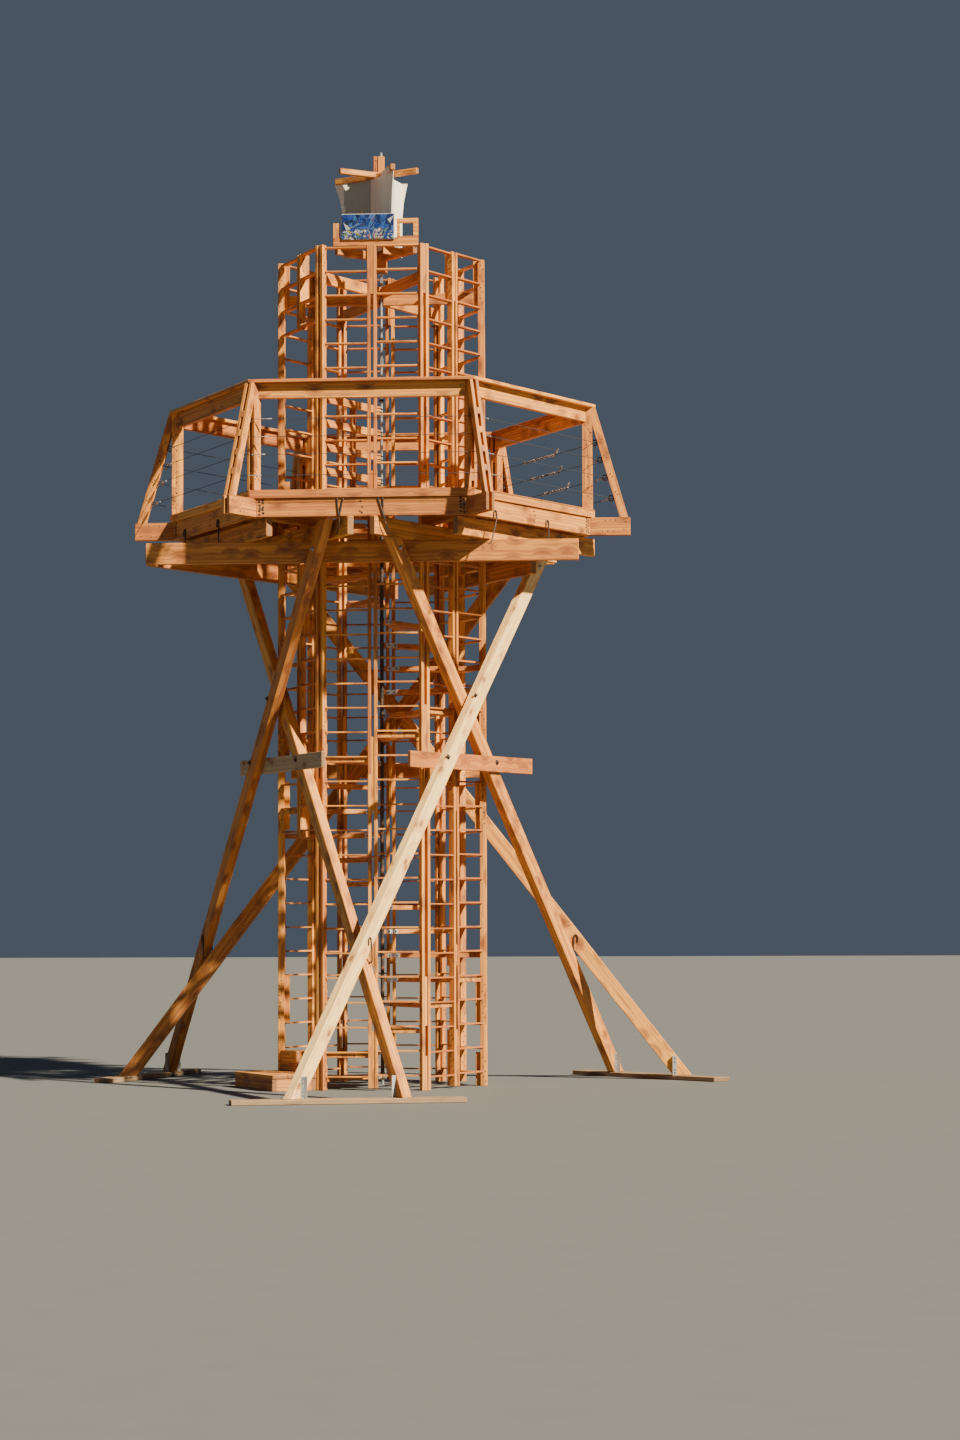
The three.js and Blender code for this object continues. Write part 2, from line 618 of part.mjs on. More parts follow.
function crownFrame() {
  const { left, right, in: near, out, bottom, top } = CROWN_PLANK;
  const middle = (near + out) / 2;
  const { half, inset, drop } = CROWN_LIMB;
  const limb = (x) => flat(0, [
    [x - half, middle], [x + half, middle], [half, 0], [-half, 0],
  ], [CROWN_BOTTOM + drop, CROWN_LIMB.top]);
  const small = [near + CROWN_END_INSET, out - CROWN_END_INSET];
  const end = slab(0, [right - CROWN_END.wide, right], [top - BITE, top + CROWN_END.tall], small);
  const opening = slab(0, [right - CROWN_END.wide + CROWN_END.left, right - CROWN_END.right],
    [top + CROWN_END.lip, top + CROWN_END.tall - CROWN_END.head], [near, out]);
  const stub = slab(0, [left, left + CROWN_STUB.wide], [top - BITE, top + CROWN_STUB.tall], small);
  const hub = slab(0, [-CROWN_HUB.half, CROWN_HUB.half], [CROWN_HUB.bottom, CROWN_LIMB.top],
    [-CROWN_HUB.half, CROWN_HUB.half]);
  const vee = [CROWN_VEE.left, CROWN_VEE.right].map((x) => flat(0, [
    [x - CROWN_VEE.wide / 2, middle], [x + CROWN_VEE.wide / 2, middle],
    [CROWN_VEE.x + CROWN_VEE.wide / 2, CROWN_VEE.out], [CROWN_VEE.x - CROWN_VEE.wide / 2, CROWN_VEE.out],
  ], [CROWN_BOTTOM + BITE, CROWN_LIMB.top]));
  const solids = [slab(0, [left, right], [bottom, top], [near, out]), limb(left + inset), limb(right - inset),
    hub, end, stub, ...vee];
  const bore = rodBore([CROWN_HUB.bottom - 10, CROWN_LIMB.top + 10]);
  add('crown_frame', fuse(solids, [bore, opening]), larch());
}

const PANEL = { left: -338, right: 174, bottom: 8100, top: 8353, thick: 20 };

function crownPanel() {
  add('crown_panel', slab(0, [PANEL.left, PANEL.right], [PANEL.bottom, PANEL.top],
    [CROWN_PLANK.out + GAP, CROWN_PLANK.out + PANEL.thick]), mosaic());
}

// Post on the hub with crossed arms near its head: the arms as their direction, length and distance off the axis
const CROWN_POST = { left: -72, right: 33, half: 35 };
const ARM = { tall: 55, half: 22 };
const ARMS_BOTTOM = 8777;
const ARMS = [
  { turn: -26.6, from: -492, to: 450, z: ARMS_BOTTOM, off: 47 },
  { turn: -70, from: -40, to: 468, z: ARMS_BOTTOM, off: 0 },
  { turn: 32.3, from: -445, to: 40, z: ARMS_BOTTOM + 13, off: 0 },
];

function crownArms() {
  const { left, right, half } = CROWN_POST;
  const post = slab(0, [left, right], [CROWN_LIMB.top + GAP, CROWN_TOP], [-half, half]);
  const arms = ARMS.map(({ turn, from, to, z, off }) => slab(
    turn, [from, to], [z, z + ARM.tall], [off - ARM.half, off + ARM.half]));
  add('crown_arms', fuse([post, ...arms], [rodBore([CROWN_LIMB.top - 10, ROD_TOP])]), larch());
}

// Thin sheets hang folded round the post, under the arms: corners in plan as [x, y], and how far each sheet
// spreads at the top past its first and its second corner
const SHEET_THICK = 6;
const SHEET_CORNERS = { left: [-386, 184], fold: [-97, -7], front: [141, -370], inner: [126, 9], right: [184, 190] };
const SHEETS = [
  ['left', 'fold', 85, 0], ['fold', 'front', 0, 40], ['front', 'inner', 0, 0],
  ['inner', 'right', 0, 54], ['right', 'left', 54, 85],
];
const SHEET_SPREAD = [[0.5, 0], [0.75, 0.3], [1, 1]];

function crownSheets() {
  const z = [CROWN_LIMB.top + GAP, ARMS_BOTTOM - GAP];
  const solids = SHEETS.map(([from, to, before, after]) => {
    const [a, b] = [SHEET_CORNERS[from], SHEET_CORNERS[to]];
    const theta = Math.atan2(b[1] - a[1], b[0] - a[0]);
    const along = ([x, y]) => x * Math.cos(theta) + y * Math.sin(theta);
    const out = a[0] * Math.sin(theta) - a[1] * Math.cos(theta);
    const [start, end] = [along(a) - SHEET_THICK / 2, along(b) + SHEET_THICK / 2];
    const height = (part) => z[0] + (z[1] - z[0]) * part;
    const outline = [[start, z[0]], [end, z[0]],
      ...SHEET_SPREAD.map(([part, spread]) => [end + after * spread, height(part)]),
      ...SHEET_SPREAD.map(([part, spread]) => [start - before * spread, height(part)]).reverse()];
    return upright(theta * 180 / Math.PI, outline, [out - SHEET_THICK / 2, out + SHEET_THICK / 2]);
  });
  add('crown_sheets', fuse(solids), sheet());
}

shaftSides();
doorwayLattices();
centralRod();
stairFlights();
stairGuard();
rodSpider();
legsAndTies();
sills();
floorFrame();
deck();
galleryPosts();
handrails();
cable();
entry();
crownFrame();
crownPanel();
crownArms();
crownSheets();

export default root;
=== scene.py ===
"""Looks of a timber observation tower: sawn boards with grain and end grain, nails, irons and a tiled crown.

Every length is in metres in the tower's own frame: +Z up, the origin on the ground under the central rod.
"""
from __future__ import annotations

import json
import logging
import math
import random
from dataclasses import dataclass, field
from enum import Enum
from functools import cache
from typing import Callable, Iterable, Sequence

import bpy
from mathutils import Matrix, Vector

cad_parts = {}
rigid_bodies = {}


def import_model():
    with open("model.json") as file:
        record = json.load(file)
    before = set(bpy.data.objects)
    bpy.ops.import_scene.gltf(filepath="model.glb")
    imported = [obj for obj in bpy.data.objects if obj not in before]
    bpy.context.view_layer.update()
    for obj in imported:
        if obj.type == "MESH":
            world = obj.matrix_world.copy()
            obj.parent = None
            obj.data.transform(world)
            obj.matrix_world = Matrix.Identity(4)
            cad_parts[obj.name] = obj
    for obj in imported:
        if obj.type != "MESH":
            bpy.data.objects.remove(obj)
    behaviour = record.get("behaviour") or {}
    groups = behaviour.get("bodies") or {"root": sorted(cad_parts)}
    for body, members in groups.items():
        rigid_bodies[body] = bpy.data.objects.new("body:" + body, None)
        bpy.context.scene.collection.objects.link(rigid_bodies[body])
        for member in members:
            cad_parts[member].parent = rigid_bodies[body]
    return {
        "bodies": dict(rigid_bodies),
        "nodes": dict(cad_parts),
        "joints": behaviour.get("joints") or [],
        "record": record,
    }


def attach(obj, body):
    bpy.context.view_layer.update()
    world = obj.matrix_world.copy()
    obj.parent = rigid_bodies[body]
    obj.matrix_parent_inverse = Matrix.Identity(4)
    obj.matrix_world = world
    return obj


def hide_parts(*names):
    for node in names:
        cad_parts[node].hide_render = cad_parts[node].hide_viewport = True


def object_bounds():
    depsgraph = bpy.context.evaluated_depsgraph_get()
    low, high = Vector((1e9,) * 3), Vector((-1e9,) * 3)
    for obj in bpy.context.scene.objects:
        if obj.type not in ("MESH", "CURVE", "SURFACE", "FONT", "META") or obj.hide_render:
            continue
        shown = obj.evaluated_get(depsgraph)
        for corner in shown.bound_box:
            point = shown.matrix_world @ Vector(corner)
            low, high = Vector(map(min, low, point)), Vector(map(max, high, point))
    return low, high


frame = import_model()
CAD_BOX = [list(corner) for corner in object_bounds()]
log = logging.getLogger("tower")
Point2 = tuple[float, float]
Span = tuple[float, float]
Colour = tuple[float, float, float]
Place = tuple[Vector, Matrix, Vector]
X_AXIS, Y_AXIS, Z_AXIS = Vector((1, 0, 0)), Vector((0, 1, 0)), Vector((0, 0, 1))
HALF_CORNER = math.radians(30)
MITRE = math.tan(HALF_CORNER)


# Plan of the tower


class Direction(Enum):
    """A direction of the six-sided plan, in degrees from the front towards the right."""

    @property
    def title(self) -> str:
        """Its name as the frame's nodes have it."""
        return self.name.lower()


class Side(Direction):
    """A side of the plan, by its outward direction."""

    FRONT = 0
    RIGHT_FRONT = 60
    RIGHT_BACK = 120
    BACK = 180
    LEFT_BACK = 240
    LEFT_FRONT = 300


class Corner(Direction):
    """A corner of the plan."""

    FRONT_RIGHT = 30
    RIGHT = 90
    BACK_RIGHT = 150
    BACK_LEFT = 210
    LEFT = 270
    FRONT_LEFT = 330


@dataclass(frozen=True)
class Plan:
    """Driving sizes that the sub-assemblies share."""

    gap: float = 0.0003
    rise: float = 0.230
    first_rail: float = 0.130
    rail_count: int = 35
    rail_thick: float = 0.028
    apothem: float = 0.866
    rail_depth: float = 0.060
    board: float = 0.030
    board_gap: float = 0.028
    post_depth: float = 0.062
    post_out: float = 1.005
    mid_proud: float = 0.005
    spacer_depth: float = 0.115
    spacer_inset: float = 0.006
    entry_head_rail: int = 10
    deck_rail: int = 23
    gallery_head_rail: int = 31
    deck_bottom: float = 5.440
    deck_top: float = 5.520
    joist_bottom: float = 5.100
    joist_tall: float = 0.170
    rim_out: float = 1.790
    handrail_top: float = 6.540

    @property
    def top(self) -> float:
        """Height of the shaft's top rails."""
        return self.rail_height(self.rail_count - 1) + self.rail_thick / 2

    @property
    def pair_inner(self) -> float:
        """Distance of a double board's inner faces from its middle plane."""
        return self.board_gap / 2

    @property
    def pair_outer(self) -> float:
        """Distance of a double board's outer faces from its middle plane."""
        return self.board_gap / 2 + self.board

    @property
    def pair_clear(self) -> float:
        """Distance of a neighbour's end from a double board's middle plane."""
        return self.pair_outer + self.gap

    def rail_height(self, k: int) -> float:
        """Height of the middle of rail number k."""
        return self.first_rail + self.rise * k

    def reach_to_post(self, out: float) -> float:
        """Half length of a line along a side, at a distance out, up to the corner posts' sides."""
        return out * MITRE - self.pair_clear / math.cos(HALF_CORNER)


PLAN = Plan()


def outward(theta: float) -> Vector:
    """Unit vector out of the tower in a direction in degrees."""
    a = math.radians(theta)
    return Vector((math.sin(a), -math.cos(a), 0))


def sideways(theta: float) -> Vector:
    """Unit vector along a side, a quarter turn on from its outward direction."""
    a = math.radians(theta)
    return Vector((math.cos(a), math.sin(a), 0))


def basis(x: Vector, y: Vector, z: Vector, origin: Vector = Vector()) -> Matrix:
    """Matrix with these three axes as columns, at an origin."""
    return Matrix.Translation(origin) @ Matrix((x, y, z)).transposed().to_4x4()


def side_frame(theta: float) -> Matrix:
    """Frame of one side: x along it, y up, z outwards."""
    return basis(sideways(theta), Z_AXIS, outward(theta))


def plan_frame(theta: float) -> Matrix:
    """Frame of one side's plan: x along it, y inwards, z up."""
    return basis(sideways(theta), -outward(theta), Z_AXIS)


def upright_frame(theta: float) -> Matrix:
    """Frame of an upright board: x up, y outwards, z along the side."""
    return basis(Z_AXIS, outward(theta), sideways(theta))


def radial_frame(theta: float) -> Matrix:
    """Frame of a radial board: x outwards, y along the side, z up."""
    return basis(outward(theta), sideways(theta), Z_AXIS)


def strip_frame(side: Matrix) -> Matrix:
    """Frame of an upright strip on a side's face: x up, y back along the side, z outwards."""
    return side @ basis(Y_AXIS, -X_AXIS, Z_AXIS)


def bar_frame(start: Vector, end: Vector, origin: Vector | None = None) -> Matrix:
    """Frame of a bar in a plane: x from its start to its end, z square to the plane, at its start or an origin."""
    x = (end - start).normalized()
    return basis(x, Vector((-x.y, x.x, 0)), Z_AXIS, start if origin is None else origin)


# Shader maths


class Shade:
    """Wraps a node socket, so that an expression on values adds its Math nodes."""

    def __init__(self, maker: Nodes, socket: bpy.types.NodeSocket | float) -> None:
        """Keeps the tree that new nodes go into, and an output socket or a plain number."""
        self.maker = maker
        self.socket = socket

    def __add__(self, other: Shade | float) -> Shade:
        """Sum."""
        return self.fold("ADD", other)

    def __sub__(self, other: Shade | float) -> Shade:
        """Difference."""
        return self.fold("SUBTRACT", other)

    def __rsub__(self, other: float) -> Shade:
        """Difference, the number first."""
        return Shade(self.maker, other).fold("SUBTRACT", self)

    def __mul__(self, other: Shade | float) -> Shade:
        """Product."""
        return self.fold("MULTIPLY", other)

    def __pow__(self, other: Shade | float) -> Shade:
        """Power."""
        return self.fold("POWER", other)

    __radd__ = __add__
    __rmul__ = __mul__

    def fold(self, operation: str, *others: Shade | float) -> Shade:
        """Output of one Math node on this value and the others."""
        values = dict(enumerate([self, *others]))
        return self.maker.node("ShaderNodeMath", {"operation": operation}, values)

    def ramp(self, low: float, high: float) -> Shade:
        """Smooth step from 0 at low to 1 at high, or the other way round when low is above high.

        Args:
            low: where the step is 0.
            high: where the step is 1.

        Returns:
            The step's value.
        """
        turned = low > high
        settings = {"interpolation_type": "SMOOTHSTEP", "clamp": True}
        bounds = {"From Min": min(low, high), "From Max": max(low, high),
                  "To Min": 1.0 if turned else 0.0, "To Max": 0.0 if turned else 1.0}
        return self.maker.node("ShaderNodeMapRange", settings, {"Value": self, **bounds})


def new_node(tree: bpy.types.NodeTree, kind: str, settings: dict, inputs: dict) -> bpy.types.Node:
    """Adds one node, its settings first and then its inputs.

    Args:
        tree: the tree.
        kind: the node's type.
        settings: attributes of the node.
        inputs: values, colours or links by socket name or number.

    Returns:
        The node.
    """
    node = tree.nodes.new(kind)
    for key, value in settings.items():
        setattr(node, key, value)
    for key, value in inputs.items():
        socket = node.inputs[key]
        value = value.socket if isinstance(value, Shade) else value
        if isinstance(value, bpy.types.NodeSocket):
            tree.links.new(value, socket)
        else:
            is_colour = isinstance(value, tuple) and len(value) == 3 and socket.type == "RGBA"
            socket.default_value = (*value, 1.0) if is_colour else value
    return node


class Nodes:
    """Makes the nodes of one material."""

    def __init__(self, name: str) -> None:
        """Starts an empty material.

        Args:
            name: the material's name.
        """
        self.material = bpy.data.materials.new(name)
        self.material.use_nodes = True
        self.tree = self.material.node_tree
        self.tree.nodes.clear()

    def node(self, kind: str, settings: dict, inputs: dict, output: str | int = 0) -> Shade:
        """The wrapped output of a new node."""
        return Shade(self, new_node(self.tree, kind, settings, inputs).outputs[output])

    def attribute(self, name: str, output: str = "Fac") -> Shade:
        """A mesh attribute: Fac gives it as a number and Vector as a vector."""
        return self.node("ShaderNodeAttribute", {"attribute_name": name}, {}, output)

    def place(self) -> Shade:
        """The point's place in the tower's frame."""
        return self.node("ShaderNodeTexCoord", {}, {}, "Object")

    def parts(self, vector: Shade) -> tuple[Shade, Shade, Shade]:
        """The x, y and z of a vector."""
        split = self.node("ShaderNodeSeparateXYZ", {}, {0: vector}).socket.node
        return tuple(Shade(self, split.outputs[i]) for i in range(3))

    def vector(self, x: Shade | float, y: Shade | float, z: Shade | float) -> Shade:
        """A vector from three numbers."""
        return self.node("ShaderNodeCombineXYZ", {}, {0: x, 1: y, 2: z})

    def add_vectors(self, a: Shade, b: Shade) -> Shade:
        """Sum of two vectors."""
        return self.node("ShaderNodeVectorMath", {"operation": "ADD"}, {0: a, 1: b})

    def stretch(self, vector: Shade, factors: tuple[float, float, float]) -> Shade:
        """A vector times three factors."""
        return self.node("ShaderNodeVectorMath", {"operation": "MULTIPLY"}, {0: vector, 1: factors})

    def noise(self, vector: Shade, scale: float, detail: float = 3.0) -> Shade:
        """Noise from 0 to 1 at a scale, with a number of octaves."""
        inputs = {"Vector": vector, "Scale": scale, "Detail": detail, "Roughness": 0.55}
        return self.node("ShaderNodeTexNoise", {}, inputs, 0)

    def cells(self, vector: Shade, scale: float) -> Shade:
        """Distance from the nearest seed of Voronoi cells."""
        return self.node("ShaderNodeTexVoronoi", {"feature": "F1"}, {"Vector": vector, "Scale": scale}, "Distance")

    def blend(self, mask: Shade | float, a: object, b: object) -> Shade:
        """Colour a where the mask is 0 and b where it is 1."""
        settings = {"data_type": "RGBA", "blend_type": "MIX", "clamp_factor": True}
        return self.node("ShaderNodeMix", settings, {0: mask, 6: a, 7: b}, 2)

    def bump(self, height: Shade, strength: float, distance: float) -> Shade:
        """A normal bent by a height from 0 to 1; the distance is the height of 1, in metres."""
        inputs = {"Height": height, "Strength": strength, "Distance": distance}
        return self.node("ShaderNodeBump", {}, inputs)

    def surface(self, inputs: dict) -> bpy.types.Material:
        """Ends the material in one Principled shader.

        Args:
            inputs: the shader's inputs by name.

        Returns:
            The material.
        """
        shader = self.node("ShaderNodeBsdfPrincipled", {}, inputs)
        new_node(self.tree, "ShaderNodeOutputMaterial", {}, {"Surface": shader})
        return self.material


# Finishes


@dataclass(frozen=True)
class SawnTimber:
    """Fresh sawn softwood, read in each board's own log coordinates, so that faces, edges and ends agree."""

    name: str
    light: Colour
    dark: Colour
    ring: Colour
    knot: Colour = (0.23, 0.075, 0.022)
    end_light: Colour = (0.22, 0.10, 0.040)
    end_dark: Colour = (0.11, 0.045, 0.018)
    earth: Colour = (0.16, 0.10, 0.06)
    shadow: Colour = (0.045, 0.018, 0.007)
    spread: float = 0.5
    knots: float = 1.0
    splash: float = 0.25
    ring_waves: float = 1150.0
    broad_waves: float = 240.0
    saw_waves: float = 520.0
    slot: str = "larch_timber"

    def material(self) -> bpy.types.Material:
        """Builds the timber's nodes.

        Returns:
            The material.
        """
        n = Nodes(self.name)
        grain = n.add_vectors(n.attribute("log", "Vector"), n.attribute("shift", "Vector"))
        tone = n.attribute("tone")
        end = n.attribute("end")
        along, across, through = n.parts(grain)
        wander = n.noise(n.stretch(grain, (0.7, 3.0, 3.0)), 1.0, 2.0)
        y = across + (wander - 0.5) * 0.05
        z = through + (wander - 0.5) * 0.03
        radius = (y * y + z * z) ** 0.5
        knot_place = n.add_vectors(grain, n.vector((wander - 0.5) * 0.05, 0.0, 0.0))
        knot_far = n.cells(n.stretch(knot_place, (0.55, 1.0, 1.0)), 8.0)
        knot = knot_far.ramp(0.23, 0.11) * self.knots
        halo = knot_far.ramp(0.56, 0.20)
        rings = ((radius + halo * 0.012) * self.ring_waves + wander * 9.0).fold("SINE") * 0.5 + 0.5
        broad = ((radius + halo * 0.02) * self.broad_waves + wander * 5.0).fold("SINE") * 0.5 + 0.5
        fibre = n.noise(n.stretch(grain, (3.0, 260.0, 260.0)), 1.0, 2.0)
        streak = n.noise(n.stretch(grain, (0.9, 30.0, 30.0)), 1.0, 3.0)
        face_ring = rings * 0.35 + broad * 0.4 + streak * 0.5
        cloud = n.noise(n.place(), 0.9, 3.0)
        body = tone * 0.75 + streak.ramp(0.3, 0.75) * 0.35 + (cloud - 0.5) * self.spread
        colour = n.blend(body.fold("MAXIMUM", 0.0), self.light, self.dark)
        colour = n.blend(face_ring.ramp(0.45, 0.95) * 0.55, colour, self.ring)
        colour = n.blend(fibre.ramp(0.5, 0.8) * 0.16, colour, self.ring)
        colour = n.blend(halo * 0.5, colour, self.ring)
        colour = n.blend(knot * 0.85, colour, self.knot)
        colour = n.blend(end * 0.8, colour, n.blend(rings * 0.55, self.end_light, self.end_dark))
        colour = n.blend(self._stain(n) * 0.6, colour, self.earth)
        line = (y * 0.42 - z * 0.91 + (streak - 0.5) * 0.004).fold("ABSOLUTE")
        length = n.noise(n.stretch(grain, (0.55, 1.5, 1.5)), 1.0, 1.0)
        crack = line.ramp(0.0022, 0.0007) * length.ramp(0.50, 0.56)
        colour = n.blend(crack * 0.9, colour, self.shadow)
        saw = (along * self.saw_waves + (wander - 0.5) * 4.0).fold("SINE") * 0.5 + 0.5
        height = fibre * 0.5 + rings * 0.25 + saw * 0.12 - knot * 0.4 - crack * 1.5
        rough = 0.62 + fibre * 0.14 - knot * 0.15
        inputs = {"Base Color": colour, "Roughness": rough, "Normal": n.bump(height, 0.55, 0.0012)}
        return n.surface(inputs)

    def _stain(self, n: Nodes) -> Shade:
        """Splashed earth near the ground, and a little dirt where water runs.

        Args:
            n: the material's nodes.

        Returns:
            The stain's mask.
        """
        place = n.place()
        low = n.parts(place)[2]
        patch = n.noise(place, 7.0, 4.0)
        splash = (low + (patch - 0.5) * 0.30).ramp(0.22, 0.02) * self.splash
        runs = n.noise(n.stretch(place, (22.0, 22.0, 1.1)), 1.0, 3.0).ramp(0.63, 0.80)
        return (splash + runs * 0.30).fold("MINIMUM", 1.0)


LARCH = SawnTimber("larch", (0.90, 0.41, 0.070), (0.46, 0.142, 0.030), (0.19, 0.046, 0.015))
PALE_SPRUCE = SawnTimber("pale_spruce", (0.92, 0.66, 0.29), (0.80, 0.50, 0.17), (0.60, 0.28, 0.085),
                         spread=0.3, knots=0.9, slot="pale_timber")
GREY_PLANK = SawnTimber("weathered_plank", (0.60, 0.42, 0.24), (0.42, 0.28, 0.15), (0.28, 0.17, 0.09), splash=1.0)


RUST: Colour = (0.22, 0.075, 0.025)


@dataclass(frozen=True)
class Metal:
    """Plain or galvanised steel with a mottled surface and some rust; on the chain the mottle is painted glints and
    painted shade.
    """

    name: str
    base: Colour
    fleck: Colour
    rust: float = 0.0
    rough: float = 0.45
    metallic: float = 0.9
    mottle: float = 90.0
    slot: str = "galvanised_steel"

    def material(self) -> bpy.types.Material:
        """Builds the metal's nodes.

        Returns:
            The material.
        """
        n = Nodes(self.name)
        place = n.place()
        # cells between base and fleck: real spangle on the other steels, painted glints and painted shade on the
        # chain
        spangle_and_painted_glints = n.cells(place, self.mottle)
        patch = n.noise(place, 26.0, 4.0)
        colour = n.blend(spangle_and_painted_glints.ramp(0.1, 0.7), self.base, self.fleck)
        rusty = patch.ramp(0.62 - 0.3 * self.rust, 0.75) * (1.0 if self.rust else 0.0)
        return n.surface({"Base Color": n.blend(rusty, colour, RUST),
                          "Roughness": self.rough + patch * 0.2 + rusty * 0.25,
                          "Metallic": self.metallic - rusty * 0.6, "Normal": n.bump(patch, 0.25, 0.0008)})


GALVANISED = Metal("galvanised_steel", (0.62, 0.65, 0.68), (0.42, 0.45, 0.48))
BRIGHT_STEEL = Metal("bright_steel", (0.86, 0.88, 0.90), (0.66, 0.69, 0.72), rough=0.22)
BLACK_IRON = Metal("black_iron", (0.035, 0.030, 0.028), (0.065, 0.055, 0.05), rust=0.5, metallic=0.6)
WIRE_ROPE = Metal("wire_rope", (0.018, 0.021, 0.028), (0.035, 0.04, 0.05), rough=0.6, metallic=0.1)
# painted highlight: the chain's white, glossy, non-metal base stands in for glints off its links, and its dark
# cells are painted shade of links seen edge-on
CHAIN_PAINTED_GLINTS = Metal("chain_steel", (1.0, 1.0, 1.0), (0.10, 0.115, 0.14), rough=0.1, metallic=0.0, mottle=30.0)
ROD_STEEL = Metal("rod_steel", (0.62, 0.66, 0.70), (0.36, 0.38, 0.41), rust=0.12, rough=0.25, metallic=0.7)


@dataclass(frozen=True)
class PaintedSheet:
    """White coated sheet, chalky and streaked, with rust at its edges, and painted shade on the torn left sheet."""

    name: str = "painted_sheet"
    slot: str = "white_sheet"
    base: Colour = (0.84, 0.82, 0.72)
    blush: Colour = (0.80, 0.58, 0.46)
    shade: Colour = (0.50, 0.51, 0.47)
    grey: Colour = (0.25, 0.27, 0.24)
    rust: Colour = (0.42, 0.21, 0.10)
    lower_edge: float = 8.16

    def material(self) -> bpy.types.Material:
        """Builds the sheet's nodes.

        Returns:
            The material.
        """
        n = Nodes(self.name)
        place = n.place()
        x, _, z = n.parts(place)
        streak = n.noise(n.stretch(place, (26.0, 26.0, 2.5)), 1.0, 4.0)
        chalk = n.noise(place, 14.0, 5.0)
        from_left = (x + (chalk - 0.5) * 0.08).ramp(-0.24, -0.12)
        fold = from_left * (x + (chalk - 0.5) * 0.05).ramp(0.04, -0.04)
        colour = n.blend(fold * 0.65, self.base, self.blush)
        colour = n.blend(streak.ramp(0.45, 0.8) * 0.45, colour, self.shade)
        # painted shade: a tone of 1 darkens the torn left sheet towards the painted shade grey
        colour = n.blend(n.attribute("tone").ramp(0.5, 1.0) * 0.8, colour, self.grey)
        rust = (chalk + (self.lower_edge - z) * 2.0).ramp(0.62, 0.85)
        colour = n.blend(rust * 0.5, colour, self.rust)
        wrinkle = n.noise(n.stretch(place, (9.0, 9.0, 3.0)), 1.0, 2.0)
        inputs = {"Base Color": colour, "Roughness": 0.42 + chalk * 0.3, "Normal": n.bump(wrinkle, 0.5, 0.01)}
        return n.surface(inputs)


@dataclass(frozen=True)
class GlazedTile:
    """Glaze of the broken tiles, each in its own colour from the face attribute."""

    name: str = "glazed_tile"
    slot: str = "blue_mosaic"
    cloudy: Colour = (0.45, 0.50, 0.60)
    dirt: Colour = (0.22, 0.20, 0.18)

    def material(self) -> bpy.types.Material:
        """Builds the tile's nodes.

        Returns:
            The material.
        """
        n = Nodes(self.name)
        paint = n.attribute("paint", "Color")
        place = n.place()
        mottle = n.noise(place, 60.0, 4.0)
        colour = n.blend(mottle.ramp(0.45, 0.75) * 0.12, paint, self.cloudy)
        dirt = n.noise(place, 9.0, 4.0).ramp(0.55, 0.8)
        colour = n.blend(dirt * 0.25, colour, self.dirt)
        inputs = {"Base Color": colour, "Roughness": 0.16 + dirt * 0.35 + mottle * 0.08,
                  "Coat Weight": 0.5, "Normal": n.bump(mottle, 0.25, 0.0008)}
        return n.surface(inputs)


@dataclass(frozen=True)
class PlainSurface:
    """Matt surface of the floor and of the mosaic's grout."""

    name: str
    base: Colour
    fleck: Colour
    scale: float = 40.0

    def material(self) -> bpy.types.Material:
        """Builds the surface's nodes.

        Returns:
            The material.
        """
        n = Nodes(self.name)
        speck = n.noise(n.place(), self.scale, 4.0)
        colour = n.blend(speck.ramp(0.4, 0.7) * 0.4, self.base, self.fleck)
        return n.surface({"Base Color": colour, "Roughness": 0.85, "Normal": n.bump(speck, 0.2, 0.001)})


FLOOR = PlainSurface("studio_floor", (0.124, 0.130, 0.137), (0.112, 0.118, 0.125), 3.0)
GROUT = PlainSurface("grout", (0.34, 0.35, 0.36), (0.24, 0.25, 0.27))
SHEET = PaintedSheet()
TILE = GlazedTile()


@cache
def material_of(finish: object) -> bpy.types.Material:
    """The material of a finish, made at its first use."""
    return finish.material()


# Solids


def clipped(a: float, b: float, c: float, d: float, cut: float) -> list[Point2]:
    """Rectangle from (a, c) to (b, d), counter-clockwise, with a cut at each corner."""
    return [(a + cut, c), (b - cut, c), (b, c + cut), (b, d - cut),
            (b - cut, d), (a + cut, d), (a, d - cut), (a, c + cut)]


def signed_area(points: Sequence[Point2]) -> float:
    """Area of an outline, positive where it runs counter-clockwise."""
    return sum(a[0] * b[1] - b[0] * a[1] for a, b in zip(points, [*points[1:], points[0]])) / 2


def corner_triples(points: Sequence[Point2]) -> list[tuple[Vector, Vector, Vector]]:
    """Each corner of an outline between its two neighbours."""
    count = len(points)
    return [tuple(Vector(points[(i + j - 1) % count]) for j in range(3)) for i in range(count)]


def offset_polygon(points: Sequence[Point2], inset: float) -> list[Point2]:
    """Convex counter-clockwise outline moved inwards.

    Args:
        points: the outline.
        inset: how far each edge moves.

    Returns:
        The moved outline.
    """
    moved = []
    for p, q, r in corner_triples(points):
        u, v = (q - p).normalized(), (r - q).normalized()
        nu, nv = Vector((-u.y, u.x)), Vector((-v.y, v.x))
        cosine = max(0.15, 1 + nu.dot(nv))
        moved.append(tuple(q + (nu + nv) * (inset / cosine)))
    return moved


def cut_corners(points: Sequence[Point2], cut: float) -> list[Point2]:
    """Outline with two points in place of each corner, at most a given cut away from it.

    Args:
        points: the outline.
        cut: how far from the corner they lie.

    Returns:
        The outline with twice the points.
    """
    result = []
    for p, q, r in corner_triples(points):
        for other in (p, r):
            step = min(cut, (other - q).length * 0.45)
            result.append(tuple(q + (other - q).normalized() * step))
    return result


def ring_points(count: int, place: Callable[[float, float], Vector], start: float = 0.0) -> list[Vector]:
    """Points of a closed path, placed by the cosine and sine of their directions from a first place in steps."""
    angles = (math.tau * (i + start) / count for i in range(count))
    return [place(math.cos(a), math.sin(a)) for a in angles]


def barrel(radius: float, low: float, high: float, edge: float) -> list[Point2]:
    """Profile of a turned piece with bevelled edges."""
    return [(radius - edge, low), (radius, low + edge), (radius, high - edge), (radius - edge, high)]


